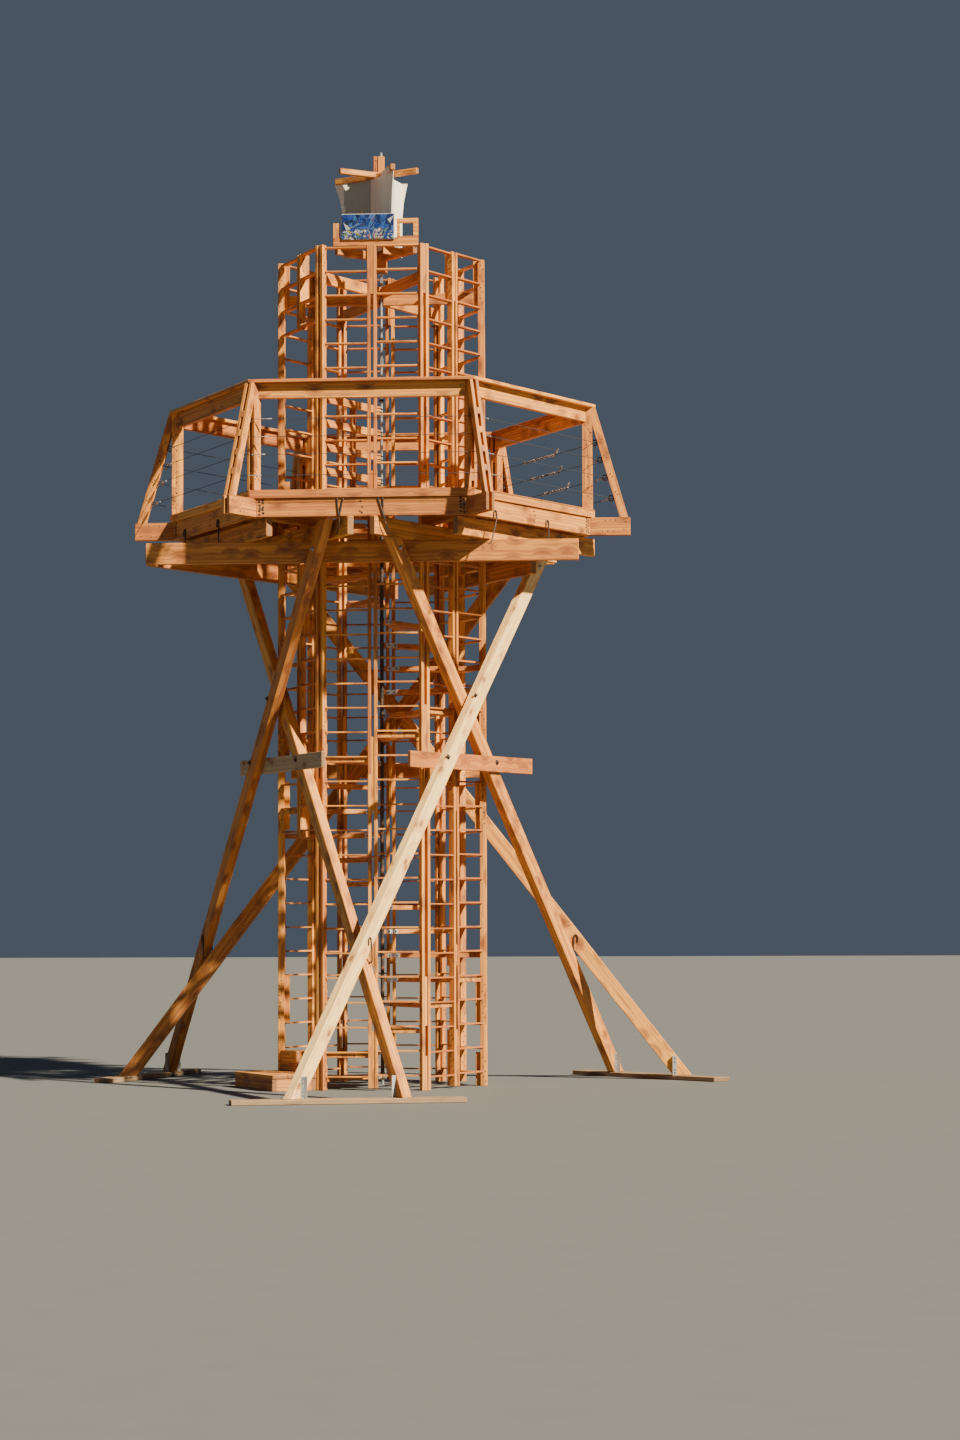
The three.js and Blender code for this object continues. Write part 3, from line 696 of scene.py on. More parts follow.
def smoothed(path: Sequence[Vector], steps: int = 4) -> list[Vector]:
    """Rounds a path off.

    Args:
        path: its corner points.
        steps: points for each stretch.

    Returns:
        The rounded path.
    """
    points = []
    last = len(path) - 1
    for i in range(last):
        a, b, c, d = (path[min(max(i + j, 0), last)] for j in (-1, 0, 1, 2))
        for t in (k / steps for k in range(steps)):
            points.append(((2 * b) + (c - a) * t + (2 * a - 5 * b + 4 * c - d) * t * t
                           + (3 * b - a - 3 * c + d) * t ** 3) * 0.5)
    return [*points, path[-1]]


STRETCH, MOST_STRETCHES = 0.22, 30


@dataclass
class Board:
    """One sawn board in a frame of its own: x along the grain, y across its width, z through its thickness.

    The ends may slant: slant gives how far each end moves along x for every metre of y.
    """

    frame: Matrix
    x: Span
    y: Span
    z: Span
    slant: Span = (0.0, 0.0)
    chamfer: float = 0.0025
    bow: float = 0.0
    rough: float = 0.0008
    waney: float = 0.0
    tone: float | None = None


UNPAINTED = (1, 1, 1, 1)


class Stack:
    """Collects solids into one mesh, with each board's own log coordinates."""

    def __init__(self, seed: int) -> None:
        """Starts empty.

        Args:
            seed: seed of the small differences between its boards.
        """
        self.rng = random.Random(seed)
        self.points: list[Vector] = []
        self.faces: list[tuple[int, ...]] = []
        self.logs: list[tuple[float, float, float]] = []
        self.tones: list[float] = []
        self.ends: list[float] = []
        self.finishes: list[int] = []
        self.smooth: list[bool] = []
        self.paints: list[tuple[float, float, float, float]] = []

    def _rings(self, rings: list[list[Vector]], frame: Matrix, pith: Vector, tone: float,
               finish: int = 0, closed: bool = False, smooth: bool = False,
               grain: Matrix | None = None, end_faces: tuple[float, float] = (1.0, 1.0)) -> None:
        """Skins a row of rings with equal numbers of points.

        Args:
            rings: the rings, in the frame.
            frame: the frame.
            pith: where the log's own coordinates start.
            tone: the board's tone.
            finish: the number of its material.
            closed: whether the last ring joins the first.
            smooth: whether its skin is shaded smooth.
            grain: turns the frame's coordinates so that x runs along the grain.
            end_faces: end grain of the first and the last face.
        """
        start = len(self.points)
        size = len(rings[0])
        for ring in rings:
            for p in ring:
                self.points.append(frame @ p)
                q = grain @ p if grain else p
                self.logs.append(tuple(q + pith))
                self.tones.append(tone)
        last = len(rings) if closed else len(rings) - 1
        for i in range(last):
            a, b = start + i * size, start + ((i + 1) % len(rings)) * size
            for j in range(size):
                k = (j + 1) % size
                self.face((a + j, a + k, b + k, b + j), 0.0, finish, smooth)
        if not closed:
            self.face(tuple(start + j for j in reversed(range(size))), end_faces[0], finish, False)
            top = start + (len(rings) - 1) * size
            self.face(tuple(top + j for j in range(size)), end_faces[1], finish, False)

    def face(self, corners: tuple[int, ...], end: float = 0.0, finish: int = 0, smooth: bool = False) -> None:
        """Adds one face with its facts.

        Args:
            corners: numbers of its points, counter-clockwise from outside.
            end: its share of end grain.
            finish: the number of its material.
            smooth: whether it is shaded smooth.
        """
        self.faces.append(corners)
        self.ends.append(end)
        self.finishes.append(finish)
        self.smooth.append(smooth)
        self.paints.append(UNPAINTED)

    def _pith(self) -> Vector:
        """A random place of the log's middle, off the board."""
        side, draw = self.rng.choice((-1, 1)), self.rng.uniform
        return Vector((draw(-20, 20), draw(-0.05, 0.05), side * draw(0.02, 0.11)))

    def board(self, b: Board, finish: int = 0) -> None:
        """Adds one board.

        Args:
            b: the board.
            finish: the number of its material.
        """
        r = self.rng
        length = b.x[1] - b.x[0]
        count = max(2, min(MOST_STRETCHES, int(length / STRETCH) + 1))
        steps = [0.0] + [i / count for i in range(count + 1)] + [1.0]
        phase = [r.uniform(0, 6.28) for _ in range(4)]
        rings = []
        for i, s in enumerate(steps):
            is_end = i in (0, len(steps) - 1)
            inset = b.chamfer if is_end else 0.0
            inset += b.rough * (0.5 + 0.5 * math.sin(phase[0] + s * length * 4.1))
            lean = b.bow * math.sin(math.pi * s)
            sway = b.rough * math.sin(phase[1] + s * length * 2.7)
            edge = b.waney * max(0.0, math.sin(phase[2] + s * length * 3.0)) ** 2
            ring = []
            section = clipped(b.y[0] + inset, b.y[1] - inset - edge, b.z[0] + inset, b.z[1] - inset,
                              b.chamfer if not is_end else b.chamfer * 0.6)
            for y, z in section:
                low = b.x[0] + b.slant[0] * y
                high = b.x[1] + b.slant[1] * y
                if not is_end:
                    low, high = low + b.chamfer, high - b.chamfer
                ring.append(Vector((low + (high - low) * s, y + sway * 0.5, z + lean + sway * 0.4)))
            rings.append(ring)
        pith = self._pith() - Vector((0, sum(b.y) / 2, sum(b.z) / 2))
        tone = b.tone if b.tone is not None else r.random()
        self._rings(rings, b.frame, pith, tone, finish)

    def prism(self, frame: Matrix, outline: Sequence[Point2], z: Span, grain: float = 0.0,
              chamfer: float = 0.0025, finish: int = 0, tone: float | None = None) -> None:
        """Adds a flat piece with a convex outline.

        Args:
            frame: its frame: x and y in the outline, z through the thickness.
            outline: its outline, in either direction.
            z: its lowest and highest z.
            grain: direction of the grain in the outline, in degrees.
            chamfer: width of its bevels.
            finish: the number of its material.
            tone: its tone, or any.
        """
        points = list(outline) if signed_area(outline) > 0 else list(reversed(outline))
        full = cut_corners(points, chamfer)
        small = cut_corners(offset_polygon(points, chamfer), chamfer * 0.7)
        levels = [(small, z[0]), (full, z[0] + chamfer), (full, z[1] - chamfer), (small, z[1])]
        rings = [[Vector((x, y, h)) for x, y in ring] for ring, h in levels]
        tone = self.rng.random() if tone is None else tone
        turn = Matrix.Rotation(-math.radians(grain), 4, "Z")
        self._rings(rings, frame, self._pith(), tone, finish, grain=turn, end_faces=(0.0, 0.0))

    def sweep(self, path: Sequence[Vector], radius: float, sides: int = 12,
              finish: int = 0, closed: bool = False, frame: Matrix = Matrix()) -> None:
        """Adds a round bar along a path.

        Args:
            path: its middle line.
            radius: its radius.
            sides: number of its faces round.
            finish: the number of its material.
            closed: whether it is a ring.
            frame: the path's frame.
        """
        count = len(path)
        rings = []
        normal = None
        for i, p in enumerate(path):
            before = path[i - 1] if i or closed else p
            after = path[(i + 1) % count] if i < count - 1 or closed else p
            t = (after - before).normalized()
            if normal is None:
                normal = t.cross(Z_AXIS if abs(t.z) < 0.9 else X_AXIS).normalized()
            normal = (normal - t * normal.dot(t)).normalized()
            side = t.cross(normal)
            rings.append(ring_points(sides, lambda c, s: p + (normal * c + side * s) * radius))
        self._rings(rings, frame, Vector(), self.rng.random(), finish, closed, True)

    def turned(self, frame: Matrix, profile: Sequence[Point2], sides: int = 16, finish: int = 0,
               smooth: bool = False) -> None:
        """Adds a turned piece round the frame's z, from (radius, z) points that are off the axis."""
        rings = [ring_points(sides, lambda c, s: Vector((radius * c, radius * s, z))) for radius, z in profile]
        self._rings(rings, frame, Vector(), self.rng.random(), finish, False, smooth)

    def mesh(self, name: str) -> bpy.types.Mesh:
        """Makes the mesh, its normals outwards and its points inside the tower's outer box.

        Args:
            name: the mesh's name.

        Returns:
            The mesh.
        """
        data = bpy.data.meshes.new(name)
        low, high = CAD_BOX
        inside = [tuple(min(max(c, low[k]), high[k]) for k, c in enumerate(p)) for p in self.points]
        data.from_pydata(inside, [], self.faces)
        facts = [("log", "FLOAT_VECTOR", "POINT", "vector", [c for v in self.logs for c in v]),
                 ("tone", "FLOAT", "POINT", "value", self.tones), ("end", "FLOAT", "FACE", "value", self.ends)]
        if any(p != UNPAINTED for p in self.paints):
            facts.append(("paint", "FLOAT_COLOR", "FACE", "color", [c for p in self.paints for c in p]))
        for title, kind, domain, key, values in facts:
            data.attributes.new(title, kind, domain).data.foreach_set(key, values)
        data.polygons.foreach_set("material_index", self.finishes)
        data.polygons.foreach_set("use_smooth", self.smooth)
        data.update()
        return data

    def publish(self, name: str, finishes: Sequence[object], *nodes: str) -> None:
        """Makes the mesh and puts it in the scene as a finished piece."""
        publish(self.mesh(name), name, finishes, *nodes)


def publish(mesh: bpy.types.Mesh, name: str, finishes: Sequence[object], *nodes: str) -> None:
    """Puts a finished piece in the scene and ties it to the frame.

    Args:
        mesh: its mesh, in the tower's frame.
        name: its name.
        finishes: its finishes, by material number.
        nodes: the frame's nodes that it stands for.
    """
    for finish in finishes:
        mesh.materials.append(material_of(finish))
    piece, slot = bpy.data.objects.new(name, mesh), finishes[0].slot
    bpy.context.scene.collection.objects.link(piece)
    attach(piece, "root")
    if nodes:
        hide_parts(*nodes)
    log.info("%s: %d faces", name, len(mesh.polygons))


# Repeated shapes


class Repeater:
    """Geometry Nodes tree that sets copies of a pattern on a carrier's points, each with its own tone and shift."""

    def __init__(self) -> None:
        """Builds the tree."""
        self.tree = bpy.data.node_groups.new("repeat", "GeometryNodeTree")
        face = self.tree.interface
        wanted = [("Carrier", "NodeSocketGeometry"), ("Pattern", "NodeSocketObject"), ("Sway", "NodeSocketFloat"),
                  ("Seed", "NodeSocketInt"), ("Finish", "NodeSocketMaterial")]
        self.inputs = {title: face.new_socket(title, in_out="INPUT", socket_type=kind) for title, kind in wanted}
        face.new_socket("Copies", in_out="OUTPUT", socket_type="NodeSocketGeometry")
        self._wire()

    def _add(self, kind: str, settings: dict, inputs: dict, output: str | int = 0) -> bpy.types.NodeSocket:
        """An output of a new node."""
        return new_node(self.tree, kind, settings, inputs).outputs[output]

    def _wire(self) -> None:
        """Connects the tree from its carrier to its copies."""
        add, kind, random_kind = self._add, "GeometryNodeInputNamedAttribute", "FunctionNodeRandomValue"
        vectors = {"data_type": "FLOAT_VECTOR"}
        given = new_node(self.tree, "NodeGroupInput", {}, {}).outputs
        pattern = add("GeometryNodeObjectInfo", {"transform_space": "ORIGINAL"}, {0: given["Pattern"]}, "Geometry")
        back = add("ShaderNodeMath", {"operation": "MULTIPLY"}, {0: given["Sway"], 1: -1.0})
        sway = add(random_kind, vectors, {0: back, 1: given["Sway"], 8: given["Seed"]})
        moved = add("GeometryNodeSetPosition", {}, {0: given["Carrier"], 3: sway})
        rotation = add("FunctionNodeEulerToRotation", {}, {0: add(kind, vectors, {0: "turn"})})
        size = add(kind, vectors, {0: "size"})
        kept = add("GeometryNodeInstanceOnPoints", {}, {0: moved, 2: pattern, 5: rotation, 6: size})
        low, high = (-20.0, -0.02, -0.02), (20.0, 0.02, 0.02)
        shift = add(random_kind, vectors, {0: low, 1: high, 8: given["Seed"]})
        tone = add(random_kind, {"data_type": "FLOAT"}, {2: 0.0, 3: 1.0, 8: given["Seed"]}, 1)
        for name, data_type, value in (("shift", "FLOAT_VECTOR", shift), ("tone", "FLOAT", tone)):
            settings = {"data_type": data_type, "domain": "INSTANCE"}
            kept = add("GeometryNodeStoreNamedAttribute", settings, {0: kept, 2: name, 3: value})
        real = add("GeometryNodeRealizeInstances", {}, {0: kept})
        done = add("GeometryNodeSetMaterial", {}, {0: real, 2: given["Finish"]})
        new_node(self.tree, "NodeGroupOutput", {}, {0: done})

    def mesh(self, name: str, pattern: bpy.types.Mesh, places: Sequence[Place],
             finish: object, sway: float = 0.0, seed: int = 1) -> bpy.types.Mesh:
        """Runs the tree on a set of places.

        Args:
            name: the new mesh's name.
            pattern: the mesh that is repeated.
            places: each copy's place, turn and size.
            finish: the copies' finish.
            sway: the greatest jitter in each direction, in metres.
            seed: seed of the jitter, the tones and the shifts.

        Returns:
            The mesh of all the copies.
        """
        carrier = bpy.data.meshes.new(name + "_carrier")
        carrier.from_pydata([tuple(place) for place, _, _ in places], [], [])
        for title, values in (("turn", [c for _, turn, _ in places for c in turn.to_euler("XYZ")]),
                              ("size", [c for _, _, size in places for c in size])):
            carrier.attributes.new(title, "FLOAT_VECTOR", "POINT").data.foreach_set("vector", values)
        sample = bpy.data.objects.new(name + "_pattern", pattern)
        host = bpy.data.objects.new(name + "_host", carrier)
        for o in (sample, host):
            bpy.context.scene.collection.objects.link(o)
        modifier = host.modifiers.new("repeat", "NODES")
        modifier.node_group = self.tree
        values = {"Pattern": sample, "Sway": sway, "Seed": seed, "Finish": material_of(finish)}
        for title, value in values.items():
            modifier[self.inputs[title].identifier] = value
        view = bpy.context.evaluated_depsgraph_get()
        made = bpy.data.meshes.new_from_object(host.evaluated_get(view))
        made.name = name
        host.modifiers.remove(modifier)
        made.materials.clear()
        for o in (sample, host):
            bpy.data.objects.remove(o)
        return made


class Head(Enum):
    """Kinds of fastening that show as a head on a face."""

    NAIL = "nail"
    BOLT = "bolt"
    STUD = "stud"

    def pattern(self) -> bpy.types.Mesh:
        """Builds the head, its shank's axis along z and its seat at zero.

        Returns:
            The head's mesh.
        """
        stack = Stack(50)
        if self is Head.NAIL:
            profile = [(0.0058, -0.0004), (0.0064, 0.0005), (0.0054, 0.0012), (0.0020, 0.0008)]
            stack.turned(Matrix(), profile, 12, 0)
        else:
            stack.turned(Matrix(), [(0.0225, -0.001), (0.024, 0.0005), (0.024, 0.0022), (0.0225, 0.003)], 24, 0)
            stack.turned(Matrix(), [(0.0115, 0.002), (0.0138, 0.004), (0.0138, 0.0115), (0.0115, 0.0135)], 6, 0)
            stack.turned(Matrix(), [(0.0078, 0.012), (0.0078, 0.020), (0.0062, 0.022)], 16, 0)
        return stack.mesh(self.value + "_head")


@dataclass
class Fixings:
    """Collects nail and bolt heads while the sub-assemblies are built, then lays them out as pieces."""

    repeater: Repeater
    rng: random.Random = field(default_factory=lambda: random.Random(77))
    places: dict[Head, list[Place]] = field(default_factory=lambda: {head: [] for head in Head})

    def add(self, frame: Matrix, point: Vector, normal: Vector, head: Head = Head.NAIL, jitter: float = 0.004,
            scale: float = 1.0) -> None:
        """Adds one head on a face.

        Args:
            frame: the frame of the point and the normal.
            point: its place on the face.
            normal: the face's direction.
            head: its kind.
            jitter: how far it may stray over the face.
            scale: its size beside a usual one.
        """
        rng = self.rng
        axis = (frame.to_3x3() @ normal).normalized()
        first = axis.orthogonal().normalized()
        second = axis.cross(first)
        stray = first * rng.uniform(-jitter, jitter) + second * rng.uniform(-jitter, jitter)
        spin = Matrix.Rotation(rng.uniform(0, math.tau), 3, axis)
        turn = spin @ Matrix((first, second, axis)).transposed()
        size = rng.uniform(0.92, 1.1) * scale
        self.places[head].append((frame @ point + stray, turn, Vector((size, size, 1.0))))

    def rows(self, frame: Matrix, x: Span, y: Iterable[float], z: float, step: float, side: int = 1,
             scale: float = 1.0) -> None:
        """Adds staggered rows of nails on a face of a board that lies along x.

        Args:
            frame: the board's frame.
            x: where the rows start and end.
            y: the rows' places across the board.
            z: the face's height.
            step: the distance between nails of a row.
            side: which way the face looks along z.
            scale: the nails' size beside usual ones.
        """
        for n, row in enumerate(y):
            count = max(1, round((x[1] - x[0]) / step))
            for i in range(count):
                place = x[0] + (x[1] - x[0]) * (i + 0.3 + 0.4 * (n % 2)) / count
                self.add(frame, Vector((place, row, z)), Vector((0, 0, side)), scale=scale)

    def publish(self, name: str) -> None:
        """Lays out what was collected since the last call.

        Args:
            name: the sub-assembly's name.
        """
        for head, places in self.places.items():
            if not places:
                continue
            piece = f"{head.value}_heads_{name}"
            finish = GALVANISED if head is Head.STUD else BLACK_IRON
            mesh = self.repeater.mesh(piece, head.pattern(), places, finish, 0.0, 3)
            publish(mesh, piece, [finish])
            self.places[head] = []


# Sub-assemblies


def double_board(stack: Stack, fixings: Fixings, theta: float, height: Span, out: Span, spacers: Sequence[Span],
                 depth: float, joints: tuple[Sequence[float], Sequence[float]] = ((), ())) -> None:
    """Adds an upright pair of boards with spacer boards between them.

    Args:
        stack: where it goes.
        fixings: where its nails go.
        theta: the direction of its plane, in degrees.
        height: its lowest and highest height.
        out: its inner and outer face.
        spacers: the heights of its spacers.
        depth: the spacers' depth.
        joints: heights at which the left and the right board are butted.
    """
    near, far = PLAN.pair_inner, PLAN.pair_outer
    turned = upright_frame(theta)
    for cuts, z in ((joints[0], (-far, -near)), (joints[1], (near, far))):
        levels = [height[0], *cuts, height[1]]
        for low, high in zip(levels, levels[1:]):
            stack.board(Board(turned, (low, high), out, z, rough=0.001))
    for span in spacers:
        y = (out[1] - depth + PLAN.spacer_inset, out[1] - PLAN.spacer_inset)
        stack.board(Board(turned, span, y, (-near, near)))
        rows = (out[1] - 0.014, out[1] - 0.036)
        for side in (-1, 1):
            fixings.rows(turned, (span[0] + 0.02, span[1] - 0.02), rows, side * far, 0.10, side)


def mitred_board(stack: Stack, theta: float, out: Span, z: Span, clearance: float, **more: float) -> None:
    """Adds a level board along a side, its mitred ends a clearance off the corners' planes."""
    end = -clearance / math.cos(HALF_CORNER)
    stack.board(Board(plan_frame(theta), (-end, end), (-out[1], -out[0]), z, (MITRE, -MITRE), **more))


def raking_board(stack: Stack, side: Matrix, low: Vector, high: Vector, half: float, z: Span,
                 **more: float) -> None:
    """Adds a sloping board with level-cut ends.

    Args:
        stack: where it goes.
        side: the frame that it slopes in.
        low: middle of its lower end.
        high: middle of its upper end.
        half: half its width.
        z: its two faces.
        more: further facts of the board.
    """
    x = (high - low).normalized()
    slope = -x.x / x.y
    stack.board(Board(side @ bar_frame(low, high), (0.0, (high - low).length), (-half, half), z,
                      (slope, slope), **more))


@dataclass
class Shaft:
    """Six-sided lattice: rails between double posts at the corners and at the middle of each side."""

    repeater: Repeater
    fixings: Fixings
    corner_spacers: tuple[Span, ...] = ((0.0, 0.320), (0.600, 1.056), (2.455, 2.915), (3.140, 3.600),
                                        (5.370, 5.830), (7.490, PLAN.top))
    mid_spacers: tuple[Span, ...] = ((0.020, 0.550), (1.150, 1.350), (2.610, 3.300), (5.350, 5.810),
                                     (7.490, PLAN.top))
    entry_spacers: tuple[Span, ...] = ((2.370, 3.300), (4.300, 4.500), (4.970, 5.430))
    gallery_spacers: tuple[Span, ...] = ((7.240, 7.330), (7.490, PLAN.top))
    corner_joints: tuple = ((2.69, 5.60), (3.37,))
    mid_joints: tuple = ((2.95, 5.58), (3.12,))
    rail_tilt: float = 0.16
    rail_sway: float = 0.0012

    def build(self) -> None:
        """Builds the posts, the rails and the doorways' lattices."""
        for side in Side:
            if side is Side.LEFT_FRONT:
                continue
            stack = Stack(100 + side.value)
            self._mid_post(stack, side.value, (0.020, PLAN.top), self.mid_spacers, self.mid_joints)
            for turn in (30, -30) if side is Side.FRONT else (30,):
                self._corner_post(stack, side.value + turn)
            stack.publish(f"shaft_posts_{side.title}", [LARCH], f"shaft_side_{side.title}")
            self._rails(side, range(PLAN.rail_count), f"shaft_rails_{side.title}")
        self._doorway("entry", (PLAN.entry_head_rail, PLAN.deck_rail), 0.060, self.entry_spacers)
        self._doorway("gallery_door", (PLAN.gallery_head_rail, PLAN.rail_count - 1), PLAN.rail_thick / 2,
                      self.gallery_spacers)
        self.fixings.publish("shaft")

    def _mid_post(self, stack: Stack, theta: float, height: Span, spacers: Sequence[Span], joints: tuple) -> None:
        """Adds the middle post of a side; its facts are those of a double board."""
        face = PLAN.apothem + PLAN.mid_proud
        double_board(stack, self.fixings, theta, height, (face - PLAN.post_depth, face), spacers,
                     PLAN.spacer_depth, joints)

    def _corner_post(self, stack: Stack, theta: float) -> None:
        """Adds the post of the corner in a direction."""
        double_board(stack, self.fixings, theta, (0.0, PLAN.top + 0.001),
                     (PLAN.post_out - PLAN.post_depth, PLAN.post_out),
                     self.corner_spacers, PLAN.spacer_depth, self.corner_joints)

    def _doorway(self, title: str, rails: tuple[int, int], drop: float, spacers: Sequence[Span]) -> None:
        """Builds the lattice over a doorway.

        Args:
            title: the doorway's name.
            rails: numbers of its lowest and highest rail.
            drop: how far its post hangs below the lowest rail's middle.
            spacers: heights of its post's spacers.
        """
        stack = Stack(200 + rails[0])
        height = (PLAN.rail_height(rails[0]) - drop, PLAN.rail_height(rails[1]) + PLAN.rail_thick / 2)
        self._mid_post(stack, Side.LEFT_FRONT.value, height, spacers, ((), ()))
        stack.publish(f"posts_over_{title}", [LARCH], f"lattice_over_{title}")
        self._rails(Side.LEFT_FRONT, range(rails[0], rails[1] + 1), f"rails_over_{title}")

    def _rails(self, side: Side, numbers: Iterable[int], name: str) -> None:
        """Repeats one half rail over a side.

        Args:
            side: the side.
            numbers: the rails' numbers.
            name: the piece's name.
        """
        rng = random.Random(name)
        stack = Stack(300 + side.value)
        start, end = PLAN.pair_outer - 0.001, PLAN.reach_to_post(0.0) - 0.0005
        half = PLAN.rail_thick / 2
        stack.board(Board(Matrix(), (start, end), (-PLAN.apothem, PLAN.rail_depth - PLAN.apothem), (-half, half),
                          (0.0, -MITRE)))
        plane = plan_frame(side.value)
        places = []
        for k in numbers:
            for turn in (1, -1):
                tilt = Matrix.Rotation(math.radians(rng.gauss(0, self.rail_tilt)), 4, "Y")
                turned = plane @ Matrix.Diagonal((turn, 1, turn, 1)) @ tilt
                places.append((Vector((0, 0, PLAN.rail_height(k))), turned.to_3x3(), Vector((1, 1, 1))))
        mesh = self.repeater.mesh(name, stack.mesh(name + "_half"), places, LARCH, self.rail_sway, side.value + 1)
        publish(mesh, name, [LARCH])


@dataclass
class Stair:
    """Winding stair: one step to a rail, under the shaft's rails and threaded on the rod."""

    steps: int = 12
    start: float = 300.0
    tread_out: float = 0.842
    tread_in: float = 0.802
    thick: float = 0.045
    first_sleeve: float = 0.060
    sleeve: float = 0.024
    sleeve_wall: float = 0.006
    cheek: Span = (0.030, 0.150)
    cheek_bolts: Span = (0.055, 0.125)

    def build(self) -> None:
        """Builds both flights."""
        for flight, name in enumerate(("lower", "upper")):
            first = flight * self.steps
            last = first + self.steps - 1
            stack = Stack(400 + flight)
            for step in range(first, last + 1):
                self._tread(stack, step, (self._top(step) - self.thick, self._top(step)))
            bottom = self._top(first - 1) + PLAN.gap if flight else self.first_sleeve
            levels = [bottom] + [self._top(step) for step in range(first, last + 1)]
            if flight:
                landing = PLAN.rail_height(PLAN.deck_rail) + PLAN.rail_thick / 2 + PLAN.gap
                self._tread(stack, last + 1, (landing, PLAN.deck_top))
                levels.append(PLAN.deck_top)
            for low, high in zip(levels, levels[1:]):
                stack.turned(Matrix(), self._sleeve(low, high - 0.002), 20, 2)
            stack.publish(f"treads_{name}", [LARCH, GALVANISED, BLACK_IRON], f"stair_flight_{name}")

    def _sleeve(self, low: float, high: float) -> list[Point2]:
        """Profile of a tube between two treads, thicker at its ends."""
        r, thin = self.sleeve, self.sleeve - self.sleeve_wall
        return [(r - 0.002, low), (r, low + 0.002), (r, low + 0.010), (thin, low + 0.012),
                (thin, high - 0.012), (r, high - 0.010), (r, high - 0.002), (r - 0.002, high)]

    @staticmethod
    def _top(step: int) -> float:
        """Height of a tread's top, just under its rails."""
        return PLAN.rail_height(step) - PLAN.rail_thick / 2 - PLAN.gap

    def _tread(self, stack: Stack, step: int, z: Span) -> None:
        """Adds the tread of one step, as three boards side by side that meet at the rod.

        Args:
            stack: where it goes.
            step: its number, from 0.
            z: its underside and top.
        """
        begin = self.start + 30 * step
        first_half = round(begin / 30) % 2 == 1
        plane = plan_frame((begin + 30 if first_half else begin) % 360)
        s = -1 if first_half else 1
        near, far = (s * 0.004, -0.020), (s * 0.018, -0.012)
        back, edge = ([(s * PLAN.pair_clear, -out), (s * PLAN.reach_to_post(out), -out)]
                      for out in (self.tread_in, self.tread_out))
        cuts = (0.0, 0.34 + stack.rng.uniform(-0.04, 0.04), 0.68 + stack.rng.uniform(-0.04, 0.04), 1.0)
        gap = 0.0012
        for i in range(3):
            line = []
            for share, space in ((cuts[i], gap if i else 0.0), (cuts[i + 1], -gap if i < 2 else 0.0)):
                points = [Vector(a).lerp(Vector(b), share) for a, b in ((near, far), back, edge)]
                line.append([(p.x + s * space, p.y) for p in points])
            outline = [*line[0], *reversed(line[1])]
            if abs(signed_area(outline)) < 0.0002:
                continue
            middle = Vector(back[0]).lerp(Vector(back[1]), (cuts[i] + cuts[i + 1]) / 2)
            grain = math.degrees(math.atan2(middle.y, middle.x))
            drop = stack.rng.uniform(0.0, 0.0012)
            stack.prism(plane, outline, (z[0], z[1] - drop), grain, 0.003)
        for a, b in ((near, edge[0]), (far, edge[1])):
            self._cheek(stack, plane @ bar_frame(Vector((*a, 0)), Vector((*b, 0))), z)

    def _cheek(self, stack: Stack, frame: Matrix, z: Span) -> None:
        """Adds the steel cheek on one edge of a tread, by the rod.

        Args:
            stack: where it goes.
            frame: the edge's frame, from the rod outwards.
            z: the tread's underside and top.
        """
        stack.board(Board(frame, self.cheek, (-0.0025, 0.0025), (z[0] + 0.001, z[1] - 0.001), chamfer=0.001), 1)
        for place in self.cheek_bolts:
            across = basis(X_AXIS, Z_AXIS, -Y_AXIS, Vector((place, 0, (z[0] + z[1]) / 2)))
            stack.turned(frame @ across, barrel(0.009, -0.006, 0.006, 0.001), 6, 2)


@dataclass
class Guard:
    """Radial boards from the front-left corner post to the rod, on one upright, above the landing."""

    theta: float = Corner.FRONT_LEFT.value
    rails: range = range(25, 29)
    tall: float = 0.070
    drop: float = 0.060
    upright: Span = (5.640, 6.560)
    upright_out: Span = (0.390, 0.450)
    upright_side: Span = (-0.055, -0.014)
    lower_end: float = 0.8957
    upper_end: float = 0.9427
    end_change: float = 5.860
    collar: float = 0.019
    strap: float = 0.004

    def build(self) -> None:
        """Builds the boards, their upright and their collars on the rod."""
        stack = Stack(500)
        half, board = self.tall / 2, PLAN.board / 2
        stack.board(Board(upright_frame(self.theta), self.upright, self.upright_out, self.upright_side))
        for k in self.rails:
            middle = PLAN.rail_height(k) - self.drop
            end = self.lower_end if middle < self.end_change else self.upper_end
            stack.board(Board(radial_frame(self.theta), (0.030, end), (-board, board),
                              (middle - half, middle + half), bow=0.001))
            for lift in (-0.018, 0.018):
                self._collar(stack, middle + lift)
        stack.publish("guard_boards", [LARCH, BLACK_IRON], "stair_guard")

    def _collar(self, stack: Stack, z: float) -> None:
        """Adds an iron ring round the rod and the arm that holds a board to it.

        Args:
            stack: where it goes.
            z: its height.
        """
        radial = radial_frame(self.theta)
        ring = ring_points(16, lambda c, s: Vector((self.collar * c, self.collar * s, z)))
        stack.sweep(ring, self.strap, 8, 1, True, radial)
        stack.sweep([Vector((x, 0.0175, z)) for x in (0.018, 0.10)], self.strap, 8, 1, False, radial)


@dataclass
class Spider:
    """Six planks on edge that hold the rod's head to the corner posts."""

    bottom: float = 7.540
    tall: float = 0.110
    thick: float = 0.040
    rise: float = 0.065
    reach: Span = (0.020, 0.8957)

    def build(self) -> None:
        """Builds the planks, the two at the front a little higher."""
        stack = Stack(600)
        for corner in Corner:
            front = math.cos(math.radians(corner.value)) > 0.5
            low = self.bottom + (self.rise if front else 0.0)
            stack.board(Board(radial_frame(corner.value), self.reach, (-self.thick / 2, self.thick / 2),
                              (low, low + self.tall), chamfer=0.004, bow=0.001))
        stack.publish("head_planks", [LARCH], "rod_spider")


